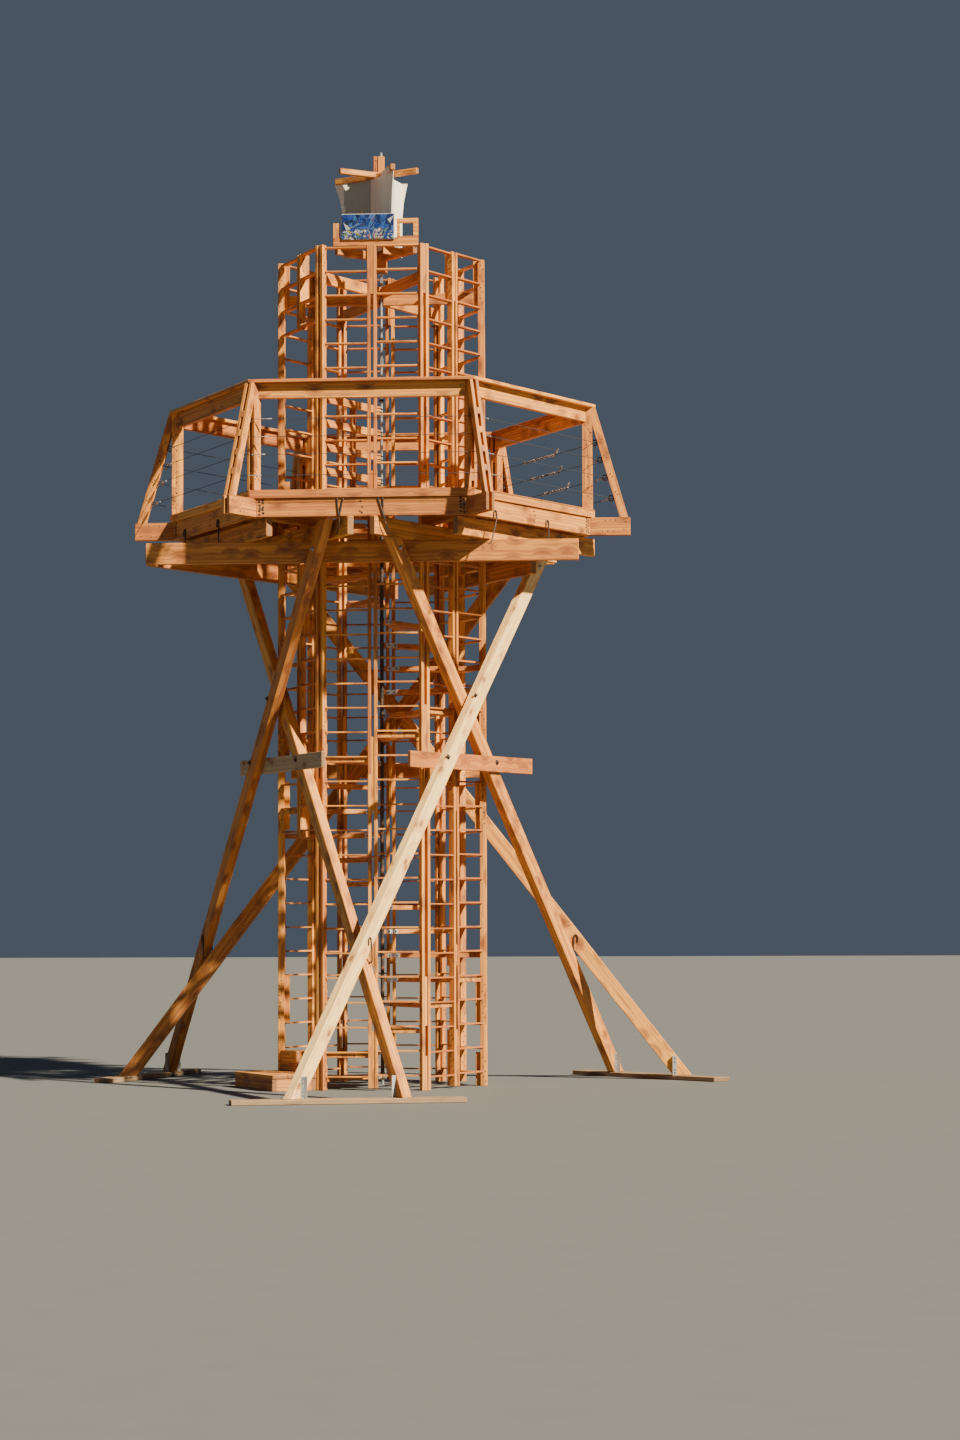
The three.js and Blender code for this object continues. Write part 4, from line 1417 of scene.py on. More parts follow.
@dataclass(frozen=True)
class Leg:
    """One raking leg in the plane of a side, by its middle line at the ground and at a reference height."""

    foot: float
    head: float
    top: float
    out: float
    wide: float = 0.145
    thick: float = 0.090
    reference: float = 5.200

    def along(self, z: float) -> float:
        """Place along the side of its middle line at a height."""
        return self.foot + (self.head - self.foot) * z / self.reference

    def half(self) -> float:
        """Half of its level width."""
        return self.wide / 2 / math.sin(math.atan2(self.reference, abs(self.head - self.foot)))

    def face(self, turn: int = 1) -> float:
        """Distance out of its outer face, or of its inner one for -1."""
        return self.out + turn * self.thick / 2

    def point(self, z: float) -> Vector:
        """Point of its middle line in the side's frame."""
        return Vector((self.along(z), z, 0))


@dataclass
class Legs:
    """Three pairs of crossing legs with their ties, sills and foot straps."""

    fixings: Fixings
    right: Leg = Leg(-2.890, 1.180, 5.260, 1.1093)
    left: Leg = Leg(2.680, -1.270, 5.0997, 0.9847)
    sides: tuple = ((60, "right"), (180, "back"), (300, "left"))
    sills: tuple = ((0, "front"), (120, "right"), (240, "left"))
    sill_half: float = 1.030
    sill_wide: float = 0.210
    sill_thick: float = 0.045
    foot: float = 0.0453
    tie_out: float = 1.047
    tie_half: float = 1.020
    tie_thick: float = 0.034
    tie_height: Span = (2.990, 3.140)
    stud_height: float = 5.01
    strap_height: Span = (0.047, 0.236)
    strap_middle: float = 0.141
    strap_half: float = 0.021
    strap_thick: float = 0.0035
    strap_nails: tuple[float, ...] = (0.070, 0.100, 0.175, 0.210)
    iron: float = 0.0065
    cramps: tuple = ((1, -1.772, 1.222), (-1, -1.796, 1.135))

    def build(self) -> None:
        """Builds legs, ties and sills."""
        for theta, name in self.sides:
            for leg, place in ((self.right, "outer"), (self.left, "inner")):
                pale = name == "right" and place == "outer"
                stack = Stack(700 + theta + (place == "outer"))
                raking_board(stack, side_frame(theta), leg.point(self.foot), leg.point(leg.top), leg.wide / 2,
                             (leg.face(-1), leg.face()), chamfer=0.005, rough=0.0015)
                self._strap(stack, theta, leg, 1)
                if leg is self.right:
                    self._strap(stack, theta, leg, -1)
                    self._cramp(stack, theta, leg)
                stack.publish(f"raking_leg_{name}_{place}",
                              [PALE_SPRUCE if pale else LARCH, BLACK_IRON, GALVANISED], f"leg_{name}_{place}")
            self._tie(theta, name)
            self._bolts(theta)
        for theta, name in self.sills:
            self._sill(theta, name)
        self.fixings.publish("legs")

    def _bolts(self, theta: float) -> None:
        """Adds the bolts through the crossing, the tie and the legs' heads.

        Args:
            theta: the pair's side.
        """
        side = side_frame(theta)
        outer, tie = self.right.face(), self.tie_out + self.tie_thick / 2
        for x, z, face in ((-0.090, 3.692, outer), (-0.545, 3.097, outer), (0.400, 3.083, tie)):
            self.fixings.add(side, Vector((x, z, face)), Z_AXIS, Head.BOLT)
        for leg in (self.right, self.left):
            place = Vector((leg.along(self.stud_height), self.stud_height, leg.face()))
            self.fixings.add(side, place, Z_AXIS, Head.STUD)
        for x in (-0.93, 0.93):
            self.fixings.rows(side, (x - 0.03, x + 0.03), (3.02, 3.11), tie, 0.05)

    def _strap(self, stack: Stack, theta: float, leg: Leg, turn: int) -> None:
        """Adds the galvanised angle between a foot and its sill.

        Args:
            stack: where it goes.
            theta: the pair's side.
            leg: the leg.
            turn: 1 on the leg's outer face, -1 on its inner face.
        """
        frame = side_frame(theta)
        face, x, half = leg.face(turn), leg.along(self.strap_middle), self.strap_half
        skin = PLAN.gap + self.strap_thick
        for across, out in (((-half, half), (PLAN.gap, skin)), ((-half, self.strap_thick - half), (skin, 0.040))):
            z = sorted(face + turn * o for o in out)
            stack.board(Board(strip_frame(frame), self.strap_height, (-x + across[0], -x + across[1]), tuple(z),
                              chamfer=0.0008), 2)
        for z in self.strap_nails:
            self.fixings.add(frame, Vector((x, z, face + turn * skin)), turn * Z_AXIS, jitter=0.001, scale=1.3)

    def _cramp(self, stack: Stack, theta: float, leg: Leg) -> None:
        """Adds the bent bars that hold a leg to the one that it crosses near the ground.

        Args:
            stack: where they go.
            theta: the pair's side.
            leg: the leg.
        """
        for turn, x, low in self.cramps:
            face = leg.out + turn * (leg.thick / 2 + self.iron)
            bend = [(-0.034, 1.360), (-0.036, 1.405), (-0.028, 1.424), (-0.017, 1.431), (-0.005, 1.424),
                    (0.002, 1.405), (0.006, 1.330), (0.012, low)]
            path = [Vector((x + shift, z, face)) for shift, z in bend]
            path.append(Vector((x + 0.004, low - 0.012, face - turn * 0.020)))
            stack.sweep(smoothed(path), self.iron, 10, 1, False, side_frame(theta))

    def _tie(self, theta: float, name: str) -> None:
        """Builds the board that ties a pair.

        Args:
            theta: the pair's side.
            name: the side's name.
        """
        stack = Stack(740 + theta)
        half = self.tie_thick / 2
        stack.board(Board(side_frame(theta), (-self.tie_half, self.tie_half), self.tie_height,
                          (self.tie_out - half, self.tie_out + half), chamfer=0.003))
        stack.publish(f"tie_board_{name}", [GREY_PLANK if name == "left" else LARCH], f"tie_{name}")

    def _sill(self, theta: float, name: str) -> None:
        """Builds the sill plank under two feet of neighbouring pairs.

        Args:
            theta: the side between the two pairs.
            name: its name.
        """
        a, b = (side_frame(theta + turn) @ Vector((leg.along(self.sill_thick), 0, leg.out))
                for turn, leg in ((60, self.right), (-60, self.left)))
        turned = plan_frame(math.degrees(math.atan2(b.y - a.y, b.x - a.x)))
        middle = turned.inverted() @ ((a + b) / 2)
        half = self.sill_wide / 2
        stack = Stack(760 + theta)
        stack.board(Board(turned, (middle.x - self.sill_half, middle.x + self.sill_half),
                          (middle.y - half, middle.y + half), (0.0, self.sill_thick), chamfer=0.004, waney=0.006))
        stack.publish(f"sill_plank_{name}", [GREY_PLANK], f"sill_{name}")


@dataclass
class FloorFrame:
    """Low beams against the legs' heads, and the joists across them."""

    legs: Legs
    low_beams: tuple = ((0, "front", -2.080, 1.960), (120, "right", -0.800, 1.960), (240, "left", -1.960, 2.000))
    joists: tuple = ((60, "right", (-1.060, 1.280), (-1.500, 1.560)),
                     (180, "back", (-1.450, 1.450), (-1.620, 1.620)),
                     (300, "left", (-1.280, 1.060), (-1.560, 1.500)))
    outer: Span = (1.570, 1.630)
    inner: Span = (0.950, 1.010)
    bottom: float = 4.900
    tall: float = 0.1997
    thick: float = 0.060

    def out(self) -> float:
        """Finds the low beams' outer face, against the legs.

        Returns:
            Its distance out.
        """
        c, s = math.cos(math.radians(60)), math.sin(math.radians(60))
        left, right = self.legs.left, self.legs.right
        near_left = left.face(-1) * c - (left.along(self.bottom) + left.half()) * s
        near_right = right.face(-1) * c + (right.along(self.bottom) - right.half()) * s
        return min(near_left, near_right) - PLAN.gap

    def build(self) -> None:
        """Builds the beams and joists."""
        outer = self.out()
        for theta, name, start, end in self.low_beams:
            self._beam(theta, (start, end), (self.bottom, self.bottom + self.tall), (outer - self.thick, outer),
                       f"floor_beam_{name}", f"low_beam_{name}")
        z = (PLAN.joist_bottom, PLAN.joist_bottom + PLAN.joist_tall)
        for theta, name, *reaches in self.joists:
            for reach, out, place in zip(reaches, (self.outer, self.inner), ("outer", "inner")):
                self._beam(theta, reach, z, out, f"floor_joist_{name}_{place}", f"joist_{name}_{place}")

    def _beam(self, theta: float, x: Span, z: Span, out: Span, piece: str, node: str) -> None:
        """Builds one beam along a side.

        Args:
            theta: the side.
            x: its ends along the side.
            z: its underside and top.
            out: its inner and outer face.
            piece: its name.
            node: the frame's node that it stands for.
        """
        stack = Stack(sum(map(ord, piece)))
        stack.board(Board(side_frame(theta), x, z, out, chamfer=0.004, rough=0.0015))
        stack.publish(piece, [LARCH], node)


@dataclass
class Decks:
    """Six decks of boards on their rim beams, with a double outrigger under each corner."""

    fixings: Fixings
    outrigger_end: float = 2.405
    rows: int = 8
    slot: float = 0.004
    rim: Span = (1.720, 1.770)
    rim_bottom: float = 5.2703
    rim_nails: tuple = ((-0.008, 5.405), (0.006, 5.360), (-0.012, 5.315), (0.004, 5.300))
    blocks: tuple[Span, ...] = ((1.200, 1.320), (2.150, 2.270))
    stand_off: float = 0.0065
    iron: float = 0.0070

    def build(self) -> None:
        """Builds the six decks."""
        for side in Side:
            stack = Stack(800 + side.value)
            self._boards(stack, side.value)
            self._rim(stack, side.value)
            self._outrigger(stack, side.value + 30)
            for path in self._cramps(side.value):
                stack.sweep(smoothed(path), self.iron, 10, 1, False, side_frame(side.value))
            stack.publish(f"gallery_deck_{side.title}", [LARCH, BLACK_IRON, GALVANISED], f"deck_{side.title}")
        self.fixings.publish("decks")

    def _cramps(self, theta: float) -> list[list[Vector]]:
        """Paths of the bent iron bars that tie the rim beam to the floor frame.

        Args:
            theta: the side.

        Returns:
            Each bar's points in the side's frame, off the rim's face unless they say how far out they lie.
        """
        if theta % 120:
            lean = -0.085 if theta == Side.RIGHT_FRONT.value else -0.010
            bars = [[(-0.695, 5.270), (-0.693, 5.320), (-0.684, 5.336), (-0.672, 5.342), (-0.659, 5.336),
                     (-0.651, 5.320), (-0.651, 5.262), (-0.651 + lean / 2, 5.150), (-0.651 + lean, 5.040),
                     (-0.690 + lean, 5.026)],
                    [(0.185, 5.270), (0.187, 5.315), (0.196, 5.332), (0.208, 5.337), (0.221, 5.331), (0.229, 5.315),
                     (0.229, 5.262), (0.229, 5.130), (0.229, 5.040), (0.200, 5.028)]]
        else:
            bars = [[(-0.224, 5.436), (-0.218, 5.350), (-0.206, 5.262), (-0.212, 5.190, 1.750),
                     (-0.232, 5.130, 1.700), (-0.246, 5.118, 1.690)],
                    [(-0.168, 5.436), (-0.188, 5.350), (-0.203, 5.266)],
                    [(0.150, 5.436), (0.182, 5.340), (0.206, 5.262), (0.222, 5.190, 1.750),
                     (0.240, 5.128, 1.700), (0.224, 5.112, 1.695)],
                    [(0.196, 5.436), (0.200, 5.340), (0.208, 5.266)]]
        face = self.rim[1] + self.stand_off
        return [[Vector((x, z, *(out or (face,)))) for x, z, *out in bar] for bar in bars]

    def _boards(self, stack: Stack, theta: float) -> None:
        """Adds the deck's boards, the outermost one first, and their nails.

        Args:
            stack: where they go.
            theta: the side.
        """
        inner = PLAN.apothem + PLAN.mid_proud + PLAN.gap
        side = PLAN.pair_clear
        corner = PLAN.post_out * math.cos(HALF_CORNER) + side / 2 + PLAN.gap
        step = (PLAN.rim_out - inner) / self.rows
        for i in range(self.rows):
            high = PLAN.rim_out - step * i
            low = high - step + self.slot
            clear = side if low < corner else PLAN.gap
            top = PLAN.deck_top - stack.rng.uniform(0, 0.0015)
            mitred_board(stack, theta, (low, high), (PLAN.deck_bottom, top), clear + 0.0005, chamfer=0.004)
            half = high * MITRE - clear * 1.2
            for x in (-half + 0.035, -half + 0.075, -0.020, 0.020, half - 0.075, half - 0.035):
                for out in (low + 0.022, high - 0.022):
                    if abs(x) < out * MITRE - clear * 1.2 - 0.012:
                        self.fixings.add(plan_frame(theta), Vector((x, -out, top)), Z_AXIS)

    def _rim(self, stack: Stack, theta: float) -> None:
        """Adds the beam under the deck's edge, and its nails.

        Args:
            stack: where it goes.
            theta: the side.
        """
        mitred_board(stack, theta, self.rim, (self.rim_bottom, PLAN.deck_bottom), PLAN.pair_clear, chamfer=0.004)
        face = side_frame(theta)
        for x, z in self.rim_nails:
            self.fixings.add(face, Vector((x, z, self.rim[1])), Z_AXIS, scale=1.6)
        end = self.rim[1] * MITRE - PLAN.pair_clear * 1.2 - 0.030
        for x in (-end, end):
            inner = x - math.copysign(0.030, x)
            self.fixings.rows(strip_frame(face), (5.285, 5.430), (-x, -inner), self.rim[1], 0.028, scale=1.9)

    def _outrigger(self, stack: Stack, theta: float) -> None:
        """Adds the double board under a corner, with its blocks and nails.

        Args:
            stack: where it goes.
            theta: the corner's direction.
        """
        low, high = PLAN.joist_bottom + PLAN.joist_tall + PLAN.gap, PLAN.deck_bottom - PLAN.gap
        near, far = PLAN.pair_inner, PLAN.pair_outer
        radial = radial_frame(theta)
        for y in ((-far, -near), (near, far)):
            stack.board(Board(radial, (PLAN.post_out + PLAN.gap, self.outrigger_end), y, (low, high),
                              chamfer=0.003))
        for span in self.blocks:
            stack.board(Board(radial, span, (-near, near), (low + 0.010, high - 0.010)))
        upright = basis(outward(theta), Z_AXIS, -sideways(theta))
        rows = (((2.125, 2.285), (low + 0.035, high - 0.030), 0.055),
                ((1.790, 1.850), (low + 0.040, low + 0.080, high - 0.030), 0.055),
                ((2.330, 2.380), (low + 0.045, high - 0.045), 0.05))
        for turn in (-1, 1):
            for reach, heights, step in rows:
                self.fixings.rows(upright, reach, heights, turn * far, step, turn)


@dataclass
class GalleryPosts:
    """Upright pair and raking strut at each corner of the gallery."""

    fixings: Fixings
    post: Span = (1.945, 2.045)
    post_spacers: tuple[Span, ...] = ((5.580, 5.690), (6.228, 6.338))
    foot: tuple[float, float] = (2.335, 5.470)
    head: tuple[float, float] = (2.075, 6.368)
    wide: float = 0.080
    block: float = 0.060
    blocks: tuple[float, ...] = (5.640, 5.820, 6.000, 6.180)
    top: float = 6.5077

    def out(self, z: float) -> float:
        """Distance out of the strut's middle line at a height."""
        return self.foot[0] + (z - self.foot[1]) * (self.head[0] - self.foot[0]) / (self.head[1] - self.foot[1])

    def build(self) -> None:
        """Builds the six posts."""
        near, far = PLAN.pair_inner - 0.001, PLAN.pair_outer - 0.001
        for corner in Corner:
            theta = corner.value
            stack = Stack(900 + theta)
            double_board(stack, self.fixings, theta, (PLAN.deck_top + PLAN.gap, self.top), self.post,
                         self.post_spacers, self.post[1] - self.post[0])
            for turn in (-1, 1):
                self.fixings.rows(upright_frame(theta), (5.700, 6.220), (sum(self.post) / 2,),
                                  turn * (far + 0.001), 0.105, turn)
            for x in ((near, far), (-far, -near)):
                self._raking(stack, theta, x, (PLAN.deck_bottom, self.top))
            plane = side_frame(theta + 90)
            for z in self.blocks:
                self._raking(stack, theta, (-near, near), (z, z + self.block))
                for turn in (-1, 1):
                    for rise in (0.018, 0.042):
                        place = Vector((-self.out(z + rise) + (rise - 0.03) * 0.6, z + rise, turn * far))
                        self.fixings.add(plane, place, turn * Z_AXIS)
            stack.publish(f"rail_post_{corner.title}", [LARCH, BLACK_IRON], f"gallery_post_{corner.title}")
        self.fixings.publish("gallery_posts")

    def _raking(self, stack: Stack, theta: float, x: Span, z: Span) -> None:
        """Adds a piece of the strut with level ends.

        Args:
            stack: where it goes.
            theta: the corner's direction.
            x: its two faces.
            z: its lowest and highest height.
        """
        low, high = (Vector((-self.out(level), level, 0)) for level in z)
        half = self.wide / 2 * abs((high - low).normalized().y)
        raking_board(stack, side_frame(theta + 90), low, high, half, x)


@dataclass
class Handrails:
    """Beam on edge under a flat board, on each side."""

    fixings: Fixings
    under: float = 6.508
    beam_tall: float = 0.140
    beam_out: Span = (1.690, 1.740)
    board_out: Span = (1.655, 1.800)
    nail_line: float = 1.732

    def build(self) -> None:
        """Builds the six handrails."""
        for side in Side:
            stack = Stack(1000 + side.value)
            mitred_board(stack, side.value, self.beam_out, (self.under - self.beam_tall, self.under),
                         PLAN.pair_clear, chamfer=0.003)
            mitred_board(stack, side.value, self.board_out, (self.under, PLAN.handrail_top), PLAN.gap,
                         chamfer=0.004)
            for x in (-0.86, -0.43, 0.0, 0.43, 0.86):
                for shift in (-0.012, 0.014):
                    place = Vector((x + shift, -self.nail_line + shift, PLAN.handrail_top))
                    self.fixings.add(plan_frame(side.value), place, Z_AXIS)
            for x in (-0.935, -0.905, 0.905, 0.935):
                for z in (6.400, 6.470):
                    self.fixings.add(side_frame(side.value), Vector((x, z, self.beam_out[1])), Z_AXIS)
            stack.publish(f"rail_boards_{side.title}", [LARCH, BLACK_IRON], f"handrail_{side.title}")
        self.fixings.publish("handrails")


@dataclass
class Cable:
    """Wire cable in four rounds through the struts' eyes."""

    posts: GalleryPosts
    repeater: Repeater
    heights: tuple[float, ...] = (5.630, 5.830, 6.000, 6.170)
    radius: float = 0.003
    link: int = Corner.BACK_LEFT.value
    eye: float = 0.026
    screw_half: float = 0.055
    screw_place: float = 0.16
    chains: tuple = ((0.38, 19), (0.415, 22), (0.41, 24))
    chain_step: float = 0.030
    chain_wire: float = 0.0050

    def _corner(self, theta: float, z: float) -> Vector:
        """Place of the cable at a corner."""
        out = self.posts.out(z + 0.006) - self.posts.wide / 2 - 0.0055 - PLAN.gap
        return outward(theta) * out + Vector((0, 0, z))

    def build(self) -> None:
        """Builds the cable with its upright link, its eyes and its screw tensioners, and the chains."""
        stack = Stack(1100)
        for z in self.heights:
            for corner in Corner:
                a, b = self._corner(corner.value, z), self._corner(corner.value + 60, z)
                stack.sweep([a.lerp(b, i / 8) for i in range(9)], self.radius, 8)
                self._eye(stack, corner.value, z)
        stack.sweep([self._corner(self.link, z) for z in (self.heights[0], self.heights[-1])], self.radius, 8)
        for corner in Corner:
            for z in self.heights:
                self._tensioner(stack, corner.value, z)
        self._chains()
        stack.publish("wire_rope", [WIRE_ROPE, BLACK_IRON, GALVANISED], "gallery_cable")

    def _tensioner(self, stack: Stack, theta: float, z: float) -> None:
        """Adds the open screw body that tightens one stretch of the cable, near its first corner.

        Args:
            stack: where it goes.
            theta: the first corner's direction.
            z: its height.
        """
        a, b = self._corner(theta, z), self._corner(theta + 60, z)
        frame = bar_frame(a, b, a + (b - a).normalized() * self.screw_place)
        end, bend, wide = self.screw_half, 0.042, 0.008
        for side in (-1, 1):
            body = [(-end, 0, 0), (-bend, side * wide, 0), (bend, side * wide, 0), (end, 0, 0)]
            stack.sweep([Vector(p) for p in body], 0.0032, 6, 2, False, frame)
        for place in (-end, end):
            turned = frame @ basis(Y_AXIS, Z_AXIS, X_AXIS, Vector((place, 0, 0)))
            stack.turned(turned, [(0.006, -0.006), (0.0068, -0.005), (0.0068, 0.005), (0.006, 0.006)], 6, 2)

    def _chains(self) -> None:
        """Lays the chains that lengthen three stretches of the cable on the right-back side, their glints painted
        in their material.
        """
        link = Stack(1150)
        ring = ring_points(14, lambda c, s: Vector((0.0115 * c + math.copysign(0.007, c), 0.0088 * s, 0)), 0.5)
        link.sweep(ring, self.chain_wire, 6, 0, True)
        places = []
        for z, (start, count) in zip(self.heights[1:], self.chains):
            a, b = self._corner(Corner.RIGHT.value, z), self._corner(Corner.BACK_RIGHT.value, z)
            base = bar_frame(a, b).to_3x3()
            x, first = base.col[0], a.lerp(b, start)
            loose = base @ Matrix.Rotation(math.radians(55), 3, "Y")
            spots = [(base, i, first + x * self.chain_step * i) for i in range(count)]
            spots += [(loose, i, first + (Vector((0, 0, 0.82)) - x * 0.57) * (0.022 + 0.024 * i)) for i in range(2)]
            for turn, i, place in spots:
                turned = turn @ Matrix.Rotation(math.radians(90 * (i % 2)), 3, "X")
                places.append((place, turned, Vector((1, 1, 1))))
        mesh = self.repeater.mesh("cable_chains", link.mesh("chain_link"), places, CHAIN_PAINTED_GLINTS, 0.0, 5)
        publish(mesh, "cable_chains", [CHAIN_PAINTED_GLINTS])

    def _eye(self, stack: Stack, theta: float, z: float) -> None:
        """Adds the ring bolt of one corner at one height.

        Args:
            stack: where it goes.
            theta: the corner's direction.
            z: its height.
        """
        radial = radial_frame(theta)
        centre = radial.inverted() @ self._corner(theta, z)
        ring = ring_points(20, lambda c, s: centre + Vector((self.eye * c - 0.019, 0, self.eye * s)))
        stack.sweep(ring, 0.0056, 8, 1, True, radial)
        stack.sweep([centre + Vector((x, 0, 0)) for x in (0.008, 0.048)], 0.0050, 8, 1, False, radial)


@dataclass
class Rod:
    """Central rod on its foot plate."""

    radius: float = 0.014
    top: float = 9.045
    plate: float = 0.11
    plate_thick: float = 0.012
    fittings: tuple = ((7.662, 7.690, 0.026, 1), (7.705, 7.835, 0.0165, 1), (7.735, 7.760, 0.027, 2),
                       (7.842, 7.858, 0.026, 1), (6.93, 7.02, 0.021, 1), (5.560, 5.580, 0.028, 2),
                       (6.60, 6.625, 0.024, 2), (7.20, 7.225, 0.024, 2))

    def build(self) -> None:
        """Builds the rod, the plate and the nuts and collars, hexagonal where they are narrow."""
        stack = Stack(1200)
        r, p, t = self.radius, self.plate, self.plate_thick
        stack.turned(Matrix(), [(r - 0.002, t), (r, t + 0.002), (r, self.top - 0.004), (r - 0.004, self.top)], 20)
        stack.prism(Matrix(), [(-p, -p), (p, -p), (p, p), (-p, p)], (0.0, t))
        for low, high, wide, finish in self.fittings:
            stack.turned(Matrix(), barrel(wide, low, high, 0.002), 6 if wide < 0.028 else 20, finish)
        stack.publish("steel_rod", [ROD_STEEL, BRIGHT_STEEL, BLACK_IRON], "central_rod")


@dataclass
class Entry:
    """Step outside the doorway, and the low box inside it."""

    side: Side = Side.LEFT_FRONT
    half: float = 0.480
    deep: float = 0.440
    top: float = 0.150
    board: float = 0.034
    box_tall: float = 0.345
    box_rows: int = 3
    box_inner: float = 0.600
    box_end: float = -0.060
    box_lid: Span = (0.315, 0.341)

    def build(self) -> None:
        """Builds the step and the box."""
        start = PLAN.post_out * math.cos(HALF_CORNER) + PLAN.pair_outer / 2 + PLAN.gap
        plane = plan_frame(self.side.value)
        stack = Stack(1300)
        step, under = self.deep / 3, self.top - self.board
        for i in range(3):
            low = start + step * i
            stack.board(Board(plane, (-self.half, self.half), (-low - step + 0.003, -low), (under, self.top),
                              chamfer=0.004))
        for low, high in ((start, start + 0.04), (start + self.deep - 0.045, start + self.deep - 0.003)):
            stack.board(Board(plane, (-self.half + 0.01, self.half - 0.01), (-high, -low), (0.0, under)))
        for x in ((-self.half + 0.01, -self.half + 0.05), (self.half - 0.05, self.half - 0.01), (-0.02, 0.02)):
            stack.board(Board(radial_frame(self.side.value), (start + 0.04, start + self.deep - 0.045), x,
                              (0.0, under)))
        stack.publish("door_step", [LARCH], "entry_step")
        self._box(plane)

    def _box(self, plane: Matrix) -> None:
        """Builds the box of boards on edge inside the doorway.

        Args:
            plane: the side's plan.
        """
        stack = Stack(1310)
        outer, inner, end, thick = PLAN.apothem, self.box_inner, self.box_end, PLAN.board
        tall, left = self.box_tall / self.box_rows, -PLAN.reach_to_post(0.0)
        for i in range(self.box_rows):
            z = (tall * i, tall * (i + 1) - 0.002)
            for y in ((-outer, -outer + thick), (-inner - thick, -inner)):
                stack.board(Board(plane, (left, end), y, z, (MITRE, 0.0)))
            stack.board(Board(radial_frame(self.side.value), (inner + thick, outer - thick), (end - thick, end), z))
        stack.board(Board(plane, (left, end - thick), (-outer + thick, -inner - thick), self.box_lid, (MITRE, 0.0)))
        stack.publish("door_box", [LARCH], "entry_box")


@dataclass
class Crown:
    """Three-cornered frame with its panel, folded sheets and crossed arms."""

    fixings: Fixings
    bottom: float = 7.9653
    limb_top: float = 8.046
    plank: Span = (-0.420, 0.400)
    plank_out: Span = (0.380, 0.425)
    plank_height: Span = (8.045, 8.125)
    hub: float = 0.055
    hub_bottom: float = 7.860
    vee_starts: Span = (0.055, 0.368)
    vee_point: Point2 = (0.240, -0.270)
    vee_wide: float = 0.034
    end_wide: float = 0.206
    stub_tall: float = 0.143
    panel: Span = (-0.338, 0.174)
    panel_height: Span = (8.100, 8.353)
    panel_edge: float = 0.006
    arms_bottom: float = 8.777
    arms: tuple = ((-26.6, -0.492, 0.450, 8.777, 0.047), (-70.0, 0.0, 0.468, 8.777, 0.0),
                   (32.3, -0.445, 0.0, 8.790, 0.0))
    arm_tall: float = 0.055
    arm_half: float = 0.022
    post_boards: tuple[Span, ...] = ((-0.072, -0.036), (-0.029, 0.033))
    post_half: float = 0.035
    post_top: float = 9.004
    post_nails: tuple[float, ...] = (8.10, 8.45, 8.66, 8.87, 8.96)

    def build(self) -> None:
        """Builds the frame, the panel, the sheets and the arms."""
        self._frame()
        self._panel()
        sheets = Stack(1420)
        FoldedSheets((self.limb_top + PLAN.gap, self.arms_bottom - PLAN.gap)).add(sheets)
        sheets.publish("folded_sheets", [SHEET], "crown_sheets")
        self._arms()

    def _frame(self) -> None:
        """Builds the frame's boards."""
        stack = Stack(1400)
        (left, right), (near, out), high = self.plank, self.plank_out, self.plank_height[1]
        centre, inset = (near + out) / 2, (near + 0.005, out - 0.005)
        stack.board(Board(side_frame(0), self.plank, self.plank_height, self.plank_out, chamfer=0.004))
        for x in (left + 0.030, right - 0.030):
            self._limb(stack, Vector((x, -centre, 0)), Vector(), 0.024, 0.002)
        stack.board(Board(upright_frame(0), (self.hub_bottom, self.limb_top), (-self.hub, self.hub),
                          (-self.hub, self.hub), chamfer=0.005))
        for x in self.vee_starts:
            self._limb(stack, Vector((x, -centre, 0)), Vector((*self.vee_point, 0)), self.vee_wide / 2, 0.001)
        start = right - self.end_wide
        for x, low, top in (((start, right), -0.001, 0.008), ((start, right), 0.136, 0.181),
                            ((start, start + 0.030), 0.008, 0.136), ((right - 0.047, right), 0.008, 0.136)):
            stack.board(Board(side_frame(0), x, (high + low, high + top), inset))
        stack.board(Board(upright_frame(0), (high, high + self.stub_tall), inset, (left, left + 0.060)))
        stack.publish("crown_boards", [LARCH, BLACK_IRON], "crown_frame")

    def _limb(self, stack: Stack, start: Vector, end: Vector, half: float, lift: float) -> None:
        """Adds a level board between two points of the front side's plan.

        Args:
            stack: where it goes.
            start: its start.
            end: its end.
            half: half its width.
            lift: how far its underside is above the frame's.
        """
        stack.board(Board(plan_frame(0) @ bar_frame(start, end), (0.0, (end - start).length), (-half, half),
                          (self.bottom + lift, self.limb_top)))

    def _panel(self) -> None:
        """Builds the mosaic: a grout plate under broken tiles."""
        stack = Stack(1410)
        (left, right), (low, high), edge = self.panel, self.panel_height, self.panel_edge
        face = self.plank_out[1] + PLAN.gap
        side = side_frame(0)
        stack.prism(side, [(left, low), (right, low), (right, high), (left, high)], (face, face + 0.014), finish=1)
        Mosaic(stack, left + edge, right - edge, low + edge, high - edge).lay(side, (face + 0.013, face + 0.0195))
        stack.publish("tile_panel", [TILE, GROUT], "crown_panel")

    def _arms(self) -> None:
        """Builds the post and its crossed arms."""
        stack = Stack(1430)
        height, half = (self.limb_top + PLAN.gap, self.post_top), self.post_half
        for x in self.post_boards:
            stack.board(Board(upright_frame(0), height, (-half, half), x, chamfer=0.004))
        for level in self.post_nails:
            self.fixings.add(upright_frame(0), Vector((level, half, -0.05)), Y_AXIS)
        for turn, start, end, z, off in self.arms:
            stack.board(Board(side_frame(turn), (start, end), (z, z + self.arm_tall),
                              (off - self.arm_half, off + self.arm_half), chamfer=0.004))
        stack.publish("crossed_arms", [LARCH, BLACK_IRON], "crown_arms")
        self.fixings.publish("crown")


